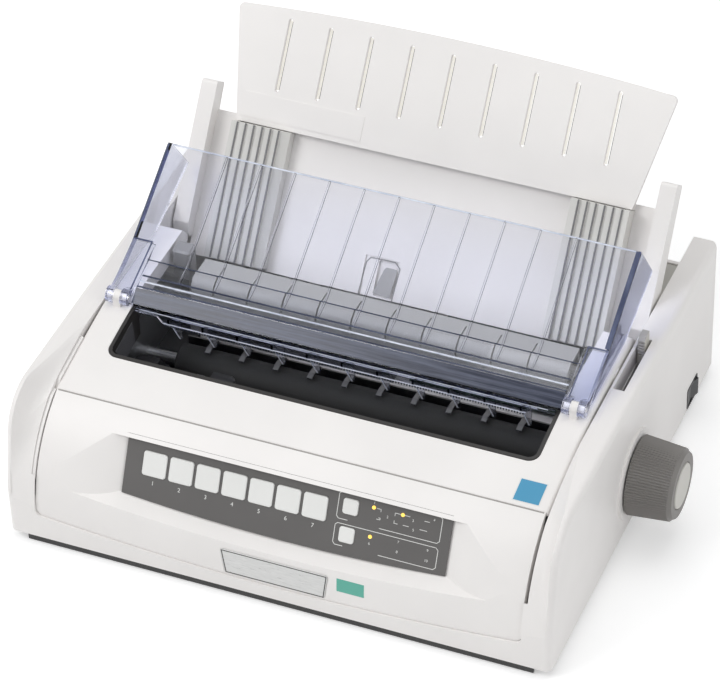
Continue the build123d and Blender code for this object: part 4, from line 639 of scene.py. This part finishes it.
# ---------------------------------------------------------------- edge of the left rail, painted shadow under the case
RAIL_EDGE = (-180.35, -178.3)
RAIL_RAY_X = -174
RAIL_RAY_START = 150
RAIL_FIRST = -78.0  # along the diagonal that rises to the rear
RAIL_STEP = 3.2
RAIL_POINTS = 33
RAIL_COVER_FIRST = -13.0  # from here on the line follows the cover
RAIL_SINK = 1.6
RAIL_THICKNESS = 2.9
BASE_SHADOW_AHEAD = 2.2
BASE_SHADOW_Z = (1.2, 6.6)
BASE_SHADOW_HALF = 186
BASE_SHADOW_THICKNESS = 1.8


def rail_edge():
    """The light edge of the left rail, which follows the fascia and the cover by rays down and rearwards."""
    path = []
    for i in range(RAIL_POINTS):
        along = RAIL_FIRST + RAIL_STEP * i
        node = nodes["front_fascia" if along < RAIL_COVER_FIRST else "top_cover"]
        start = (RAIL_RAY_X, along * DIAGONAL - RAIL_RAY_START, along * DIAGONAL + RAIL_RAY_START)
        place, normal = surface(node, start, (0, DIAGONAL, -DIAGONAL))
        path.append((place.y / MM - normal.y * RAIL_SINK, place.z / MM - normal.z * RAIL_SINK))
    ribbon("rail_edge_left", path, RAIL_EDGE, RAIL_THICKNESS, WHITE, "chassis", "housing_plastic")


def base_painted_shadow():
    """A dark strip of painted shadow under the front of the case."""
    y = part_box("base_pan")[0][1] / MM - BASE_SHADOW_AHEAD
    ribbon("base_painted_shadow", [(y, z) for z in BASE_SHADOW_Z], (-BASE_SHADOW_HALF, BASE_SHADOW_HALF), -BASE_SHADOW_THICKNESS,
           DARK_LINE, "chassis", "trim_plastic")


rail_edge()
base_painted_shadow()


# ---------------------------------------------------------------- the flap's clear plastic, edge on, in painted shade and highlights
FLAP_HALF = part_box("clear_flap")[1][0] / MM
STRIP_INNER = FLAP_HALF - 15.3
STRIP = (STRIP_INNER + 0.6, FLAP_HALF - 0.4)
STRIP_EDGE = (STRIP_INNER + 0.3, STRIP_INNER + 1.4)
SIDE_EDGE_OUTER = FLAP_HALF - 0.1
BEAM_HALF = STRIP_INNER - 2.5
FOLD_HALF = FLAP_HALF - 16
REAR_HALF = FLAP_HALF - 3.6

LINE_LIFT = 0.1
LINE_THICKNESS = 0.2
PANE_THICKNESS = 0.25
WALL_THICKNESS = 0.3
WALL_LIFT = 0.06
BEAM_FACE_LIFT = 0.15
STRIP_EDGE_LIFT = 0.4
STEP_EDGE_LIFT = 0.65
LEFT_EDGE_WIDTH = 1.3
RIGHT_EDGE_WIDTH = 3.3

# places on the flap's outline, as (y, z)
WALL_OUTLINE = ((66.4, 178.9), (92.4, 143.6), (36, 124.4), (-30, 123.6), (3, 141.6))
STRIP_FRONT = (-37.5, 127.5)
STRIP_REAR = (1.4, 141.24)
STEP_FRONT = (1.7, 141.35)
STEP_REAR = (3.0, 141.8)
SIDE_FRONT = (3.6, 142.5)
SIDE_REAR = (66.4, 179.25)
BEAM_FACE = ((-42.6, 122.5), (-33.4, 129.2))
BEAM_LINE_FIRST = (-33.0, 129.5)
BEAM_LINE_PITCH = (4.8, 1.15)
BEAM_LINE_RUN = (1.3, 0.31)
FOLD_LINE = ((-9.6, 135.14), (-8.7, 135.35))
REAR_EDGE = ((65.8, 178.9), (66.8, 179.48))


def on_flap(material):
    return material, "flap", "tinted_clear"


def flap_front():
    """The beam along the flap's front: its face in painted shade, three lines on it of which the middle one
    is a painted highlight, and a line of painted shade along the fold behind it.
    """
    beam_span = (-BEAM_HALF, BEAM_HALF)
    ribbon("flap_beam_face", above(*BEAM_FACE, BEAM_FACE_LIFT), beam_span, PANE_THICKNESS, *on_flap(BEAM))
    for i, material in enumerate((BEAM, BEAM_SHINE, BEAM)):
        start = [first + pitch * i for first, pitch in zip(BEAM_LINE_FIRST, BEAM_LINE_PITCH)]
        end = [place + run for place, run in zip(start, BEAM_LINE_RUN)]
        ribbon(f"flap_beam_line_{i + 1}", above(start, end, LINE_LIFT), beam_span, LINE_THICKNESS,
               *on_flap(material))
    ribbon("flap_fold_shade", above(*FOLD_LINE, LINE_LIFT), (-FOLD_HALF, FOLD_HALF), LINE_THICKNESS,
           *on_flap(BEAM))


def flap_side(side, word, tint, edge_width):
    """One side of the flap: the strip beside the window, its edges and the side wall's edge in painted shade,
    and the wall.
    """
    strip = mirrored(side, *STRIP)
    strip_edge = mirrored(side, *STRIP_EDGE)
    side_edge = mirrored(side, SIDE_EDGE_OUTER - edge_width, SIDE_EDGE_OUTER)
    ribbon(f"flap_strip_{word}", above(STRIP_FRONT, STRIP_REAR, LINE_LIFT), strip, PANE_THICKNESS,
           *on_flap(tint))
    for name, start, end, lift, span in (
            ("flap_strip_edge", STRIP_FRONT, STEP_REAR, STRIP_EDGE_LIFT, strip_edge),
            ("flap_step_edge", STEP_FRONT, STEP_REAR, STEP_EDGE_LIFT, strip),
            ("flap_side_edge", SIDE_FRONT, SIDE_REAR, LINE_LIFT, side_edge)):
        ribbon(f"{name}_{word}", above(start, end, lift), span, LINE_THICKNESS, *on_flap(BEAM_EDGE))
    wall = Face((side * (FLAP_HALF + WALL_LIFT), 0, 0), (0, side, 0), DOWNWARDS)
    outline = [(side * y, -z) for y, z in WALL_OUTLINE]
    prisms(f"flap_wall_tint_{word}", wall, [outline], (0, WALL_THICKNESS), *on_flap(tint))


def flap_rear():
    """A painted highlight along the flap's rear edge."""
    ribbon("flap_rear_highlight", above(*REAR_EDGE, LINE_LIFT), (-REAR_HALF, REAR_HALF), LINE_THICKNESS,
           *on_flap(BEAM_SHINE))


flap_front()
flap_side(-1, "left", WALL_CLEAR, LEFT_EDGE_WIDTH)
flap_side(1, "right", WALL_TINT, RIGHT_EDGE_WIDTH)
flap_rear()


# ---------------------------------------------------------------- the tear bar's comb and painted highlights on its edges
BAR_Y = -43.4
BAR_FOOT_Z = 113.0
COMB_PITCH = 2.0
COMB_SIDE_TEETH = 66  # to each side of the tooth in the middle
TOOTH_LEVELS = (0.2, 1.8)
TOOTH = ((-0.55, 0.05), (0.55, 0.05), (0.25, 1.9), (-0.25, 1.9))
SCALE_Y = -23.0
FINGER_COUNT = 11
FINGER_PITCH = 26.0
FINGER_FOOT = (SCALE_Y - 4.1, 86.2)
FINGER_BEND = (SCALE_Y - 14.1, 104.0)
FINGER_TOP = (BAR_Y - 1.9, 112.8)
EDGE_HALF = 0.35
EDGE_THICKNESS = 0.15
BAR_FRONT_Y = BAR_Y - 2.05
BAR_LINES = (("tear_bar_shine", (120.6, 121.3), 150), ("tear_bar_foot_highlight", (113.1, 113.7), 133))


def on_bar(material):
    return material, "cover", "tinted_clear"


def finger_edges():
    """A painted highlight along the front edge of each finger, below and above its bend."""
    for i in range(FINGER_COUNT):
        x = (i - FINGER_COUNT // 2) * FINGER_PITCH
        span = (x - EDGE_HALF, x + EDGE_HALF)
        for name, start, end in (("finger_edge_highlight", FINGER_FOOT, FINGER_BEND),
                                 ("finger_top_highlight", FINGER_BEND, FINGER_TOP)):
            ribbon(f"{name}_{i + 1}", above(start, end, LINE_LIFT), span, EDGE_THICKNESS, *on_bar(BEAM_SHINE))


def bar_comb():
    """The comb of small teeth under the tear bar, and painted highlight lines along the bar."""
    foot = Face((0, BAR_Y, BAR_FOOT_Z), RIGHTWARDS, DOWNWARDS)
    places = [number * COMB_PITCH for number in range(-COMB_SIDE_TEETH, COMB_SIDE_TEETH + 1)]
    teeth = [[(x + dx, s) for dx, s in TOOTH] for x in places]
    prisms("tear_bar_comb", foot, teeth, TOOTH_LEVELS, *on_bar(BEAM))
    for name, levels, half in BAR_LINES:
        ribbon(name, [(BAR_FRONT_Y, z) for z in levels], (-half, half), EDGE_THICKNESS, *on_bar(BEAM_SHINE))


finger_edges()
bar_comb()


# ---------------------------------------------------------------- lighter patch on the window's left wall
TRIM_WALL_X = -155.28
TRIM_WALL_OUTLINE = ((-78, 107), (-50, 112), (-47, 92), (-67, 89))  # (y, z) points
PATCH_LEVELS = (0.05, 0.3)

trim_wall = Face((TRIM_WALL_X, 0, 0), REARWARDS, DOWNWARDS)
prisms("trim_wall_left", trim_wall, [[(y, -z) for y, z in TRIM_WALL_OUTLINE]], PATCH_LEVELS,
       WALL_GREY, "cover", "trim_plastic")


# ---------------------------------------------------------------- the sheet support's handle and slots
HANDLE_TOP = (-20.8, 86.9, 102.0)
HANDLE_GROOVE = ((-14.6, 30), (-12.9, 4), (-10.5, 0.6), (8.1, 0), (12.6, 4), (11, 30))
GROOVE_WIDTH = 0.7
HANDLE_SHADE = ((2.5, 5), (10.2, 5), (11.2, 7), (9, 26), (-4, 25), (1, 7))
HANDLE_LEVELS = (0.05, 0.2)
BOARD_LEVEL = -6.0
SLOT_CENTRE = 132.0
SLOT_COUNT = 9
SLOT_PITCH = 31.0
SLOT_HALF = 1.6
SLOT_REACH = 25.4
RIB_WIDTH = 1.0
RIB_LEVELS = (-10.4, -4.05)
SLOT_EDGE = 0.25
SLOT_EDGE_REACH = SLOT_REACH - 1.0
SLOT_EDGE_WIDTH = 0.4
SLOT_EDGE_LEVELS = (0.02, 0.08)


def on_support(material):
    return material, "sheet_support", "housing_plastic"


def support_handle():
    """A line of painted shade along the groove round the handle, and painted shade in its pocket."""
    handle = Face(HANDLE_TOP, RIGHTWARDS, support.down)
    strokes("handle_groove_shade", handle, [HANDLE_GROOVE], GROOVE_WIDTH, HANDLE_LEVELS, *on_support(BLOCK_AND_PAINTED_SHADE))
    prisms("handle_shade", handle, [HANDLE_SHADE], HANDLE_LEVELS, *on_support(SHADE))


def support_slots():
    """A rib behind the left side of each slot of the upper board, made pale with painted light, and a line of
    painted shade along the slot's right edge.
    """
    board = support.moved(-SLOT_CENTRE, BOARD_LEVEL)
    edges = []
    for i in range(SLOT_COUNT):
        x = (i - SLOT_COUNT // 2) * SLOT_PITCH
        right = x - SLOT_HALF
        left = right - RIB_WIDTH
        outline = [(left, -SLOT_REACH), (right, -SLOT_REACH), (right, SLOT_REACH), (left, SLOT_REACH)]
        prisms(f"slot_rib_{i + 1}", board, [outline], RIB_LEVELS, *on_support(SLOT_WALL_PAINTED_LIGHT))
        edge_x = x + SLOT_HALF + SLOT_EDGE
        edges.append([(edge_x, -SLOT_EDGE_REACH), (edge_x, SLOT_EDGE_REACH)])
    # The lines along the slots' right edges are painted shade.
    strokes("slot_edge_shade", board, edges, SLOT_EDGE_WIDTH, SLOT_EDGE_LEVELS, *on_support(BLOCK_AND_PAINTED_SHADE))


support_handle()
support_slots()


# ---------------------------------------------------------------- seam between the cover and the fascia
SEAM_SIDE_GAP = 1.0
SEAM_PLACES = (0.9, 0.5, 0.12)  # ahead of the fascia's rear edge
SEAM_LIFT = 0.03
COVER_SEAM_THICKNESS = 0.05
OVER_CASE_Z = 200


def cover_seam():
    """The dark line along the fascia's rear edge, where the cover begins."""
    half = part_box("front_fascia")[1][0] / MM - SEAM_SIDE_GAP
    path = []
    for ahead in SEAM_PLACES:
        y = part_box("front_fascia")[1][1] / MM - ahead
        place, _ = surface(nodes["front_fascia"], (0, y, OVER_CASE_Z), DOWNWARDS)
        path.append((y, place.z / MM + SEAM_LIFT))
    ribbon("cover_seam", path, (-half, half), COVER_SEAM_THICKNESS, SEAM_LINE, "chassis", "housing_plastic")


cover_seam()


# ---------------------------------------------------------------- stage, in metres and watts
FLOOR_HALF = 9
FLOOR_TINTS = ((0.86, 0.86, 0.86), (0.88, 0.88, 0.88))
FLOOR_CLOUD_SCALE = 3
FLOOR_ROUGHNESS = 0.8
FLOOR_GLOW = 0.32
SKY_COLOUR = (0.98, 0.99, 1.0, 1)
SKY_STRENGTHS = (0.52, 1.0)  # on the object, and as the camera sees it
LAMPS = (
    # name, place, the point that it faces, side, watts
    ("key_light", (-1.6, -1.5, 2.4), (0, 0, 0.05), 1.6, 38),
    ("top_light", (0.2, 0.6, 2.6), (0, 0, 0.05), 1.8, 14),
    ("fill_light", (2.4, -0.8, 1.4), (0, 0, 0.08), 1.6, 11),
)


def floor():
    """A pale floor that glows a little for the camera, in reflections and through clear plastic."""
    material, tree, shader = new_material("floor")
    shader.inputs["Roughness"].default_value = FLOOR_ROUGHNESS
    cloud = spread(tree, noise(tree, object_coordinates(tree), FLOOR_CLOUD_SCALE, detail=2))
    two_tints(tree, shader, cloud, *FLOOR_TINTS)
    path = tree.nodes.new("ShaderNodeLightPath")
    seen = largest(tree, [path.outputs[f"Is {kind} Ray"] for kind in ("Camera", "Glossy", "Transmission")])
    glow = tree.nodes.new("ShaderNodeEmission")
    glow.inputs["Color"].default_value = (1, 1, 1, 1)
    link(tree, map_range(tree, seen, (0, 1), (0, FLOOR_GLOW)), glow.inputs["Strength"])
    both = tree.nodes.new("ShaderNodeAddShader")
    link(tree, shader.outputs[0], both.inputs[0])
    link(tree, glow.outputs[0], both.inputs[1])
    link(tree, both.outputs[0], tree.nodes["Material Output"].inputs["Surface"])
    mesh = bpy.data.meshes.new("floor")
    corners = [(x * FLOOR_HALF, y * FLOOR_HALF, 0) for x, y in ((-1, -1), (1, -1), (1, 1), (-1, 1))]
    mesh.from_pydata(corners, [], [(0, 1, 2, 3)])
    mesh.materials.append(material)
    made = new_object("floor", mesh)


def world():
    """A white surrounding, weaker as light on the object than as the camera sees it."""
    sky = bpy.data.worlds.new("studio")
    sky.use_nodes = True
    tree = sky.node_tree
    background = tree.nodes["Background"]
    background.inputs["Color"].default_value = SKY_COLOUR
    path = tree.nodes.new("ShaderNodeLightPath")
    seen = largest(tree, [path.outputs[f"Is {kind} Ray"] for kind in ("Camera", "Transmission")])
    link(tree, map_range(tree, seen, (0, 1), SKY_STRENGTHS), background.inputs["Strength"])
    bpy.context.scene.world = sky


def softbox(name, place, aim, size, watts):
    """A square lamp that faces a point."""
    data = bpy.data.lights.new(name, "AREA")
    data.shape = "SQUARE"
    data.size = size
    data.energy = watts
    lamp = new_object(name, data)
    lamp.location = place
    lamp.rotation_mode = "QUATERNION"
    lamp.rotation_quaternion = (Vector(aim) - Vector(place)).to_track_quat("-Z", "Y")


floor()
world()
for lamp in LAMPS:
    softbox(*lamp)


# ---------------------------------------------------------------- camera, fitted to the photograph
CAMERA_TURN = 23.06
CAMERA_ELEVATION = 39.935
CAMERA_ROLL = -1.548
CAMERA_DISTANCE = 2800.1
CAMERA_RIGHT = -4.463
CAMERA_UP = 77.128
SENSOR_WIDTH = 36
LENS_LENGTH = 197.41
CLIP_METRES = (0.1, 60)


def photo_camera():
    """The photograph's camera: turned and raised round the origin, shifted across its view, and rolled."""
    data = bpy.data.cameras.new("camera")
    data.sensor_width = SENSOR_WIDTH
    data.lens = LENS_LENGTH
    data.clip_start, data.clip_end = CLIP_METRES
    turn, elevation, roll = (math.radians(angle) for angle in (CAMERA_TURN, CAMERA_ELEVATION, CAMERA_ROLL))
    back = Vector((math.sin(turn) * math.cos(elevation), -math.cos(turn) * math.cos(elevation),
                   math.sin(elevation)))
    right = Vector((math.cos(turn), math.sin(turn), 0))
    up = back.cross(right)
    place = (back * CAMERA_DISTANCE + right * CAMERA_RIGHT + up * CAMERA_UP) * MM
    rolled_right = right * math.cos(roll) + up * math.sin(roll)
    rolled_up = up * math.cos(roll) - right * math.sin(roll)
    axes = Matrix((rolled_right, rolled_up, back)).transposed().to_4x4()
    camera = new_object("camera", data)
    camera.matrix_world = Matrix.Translation(place) @ axes
    bpy.context.scene.camera = camera


photo_camera()
bpy.context.scene.view_settings.view_transform = "Standard"
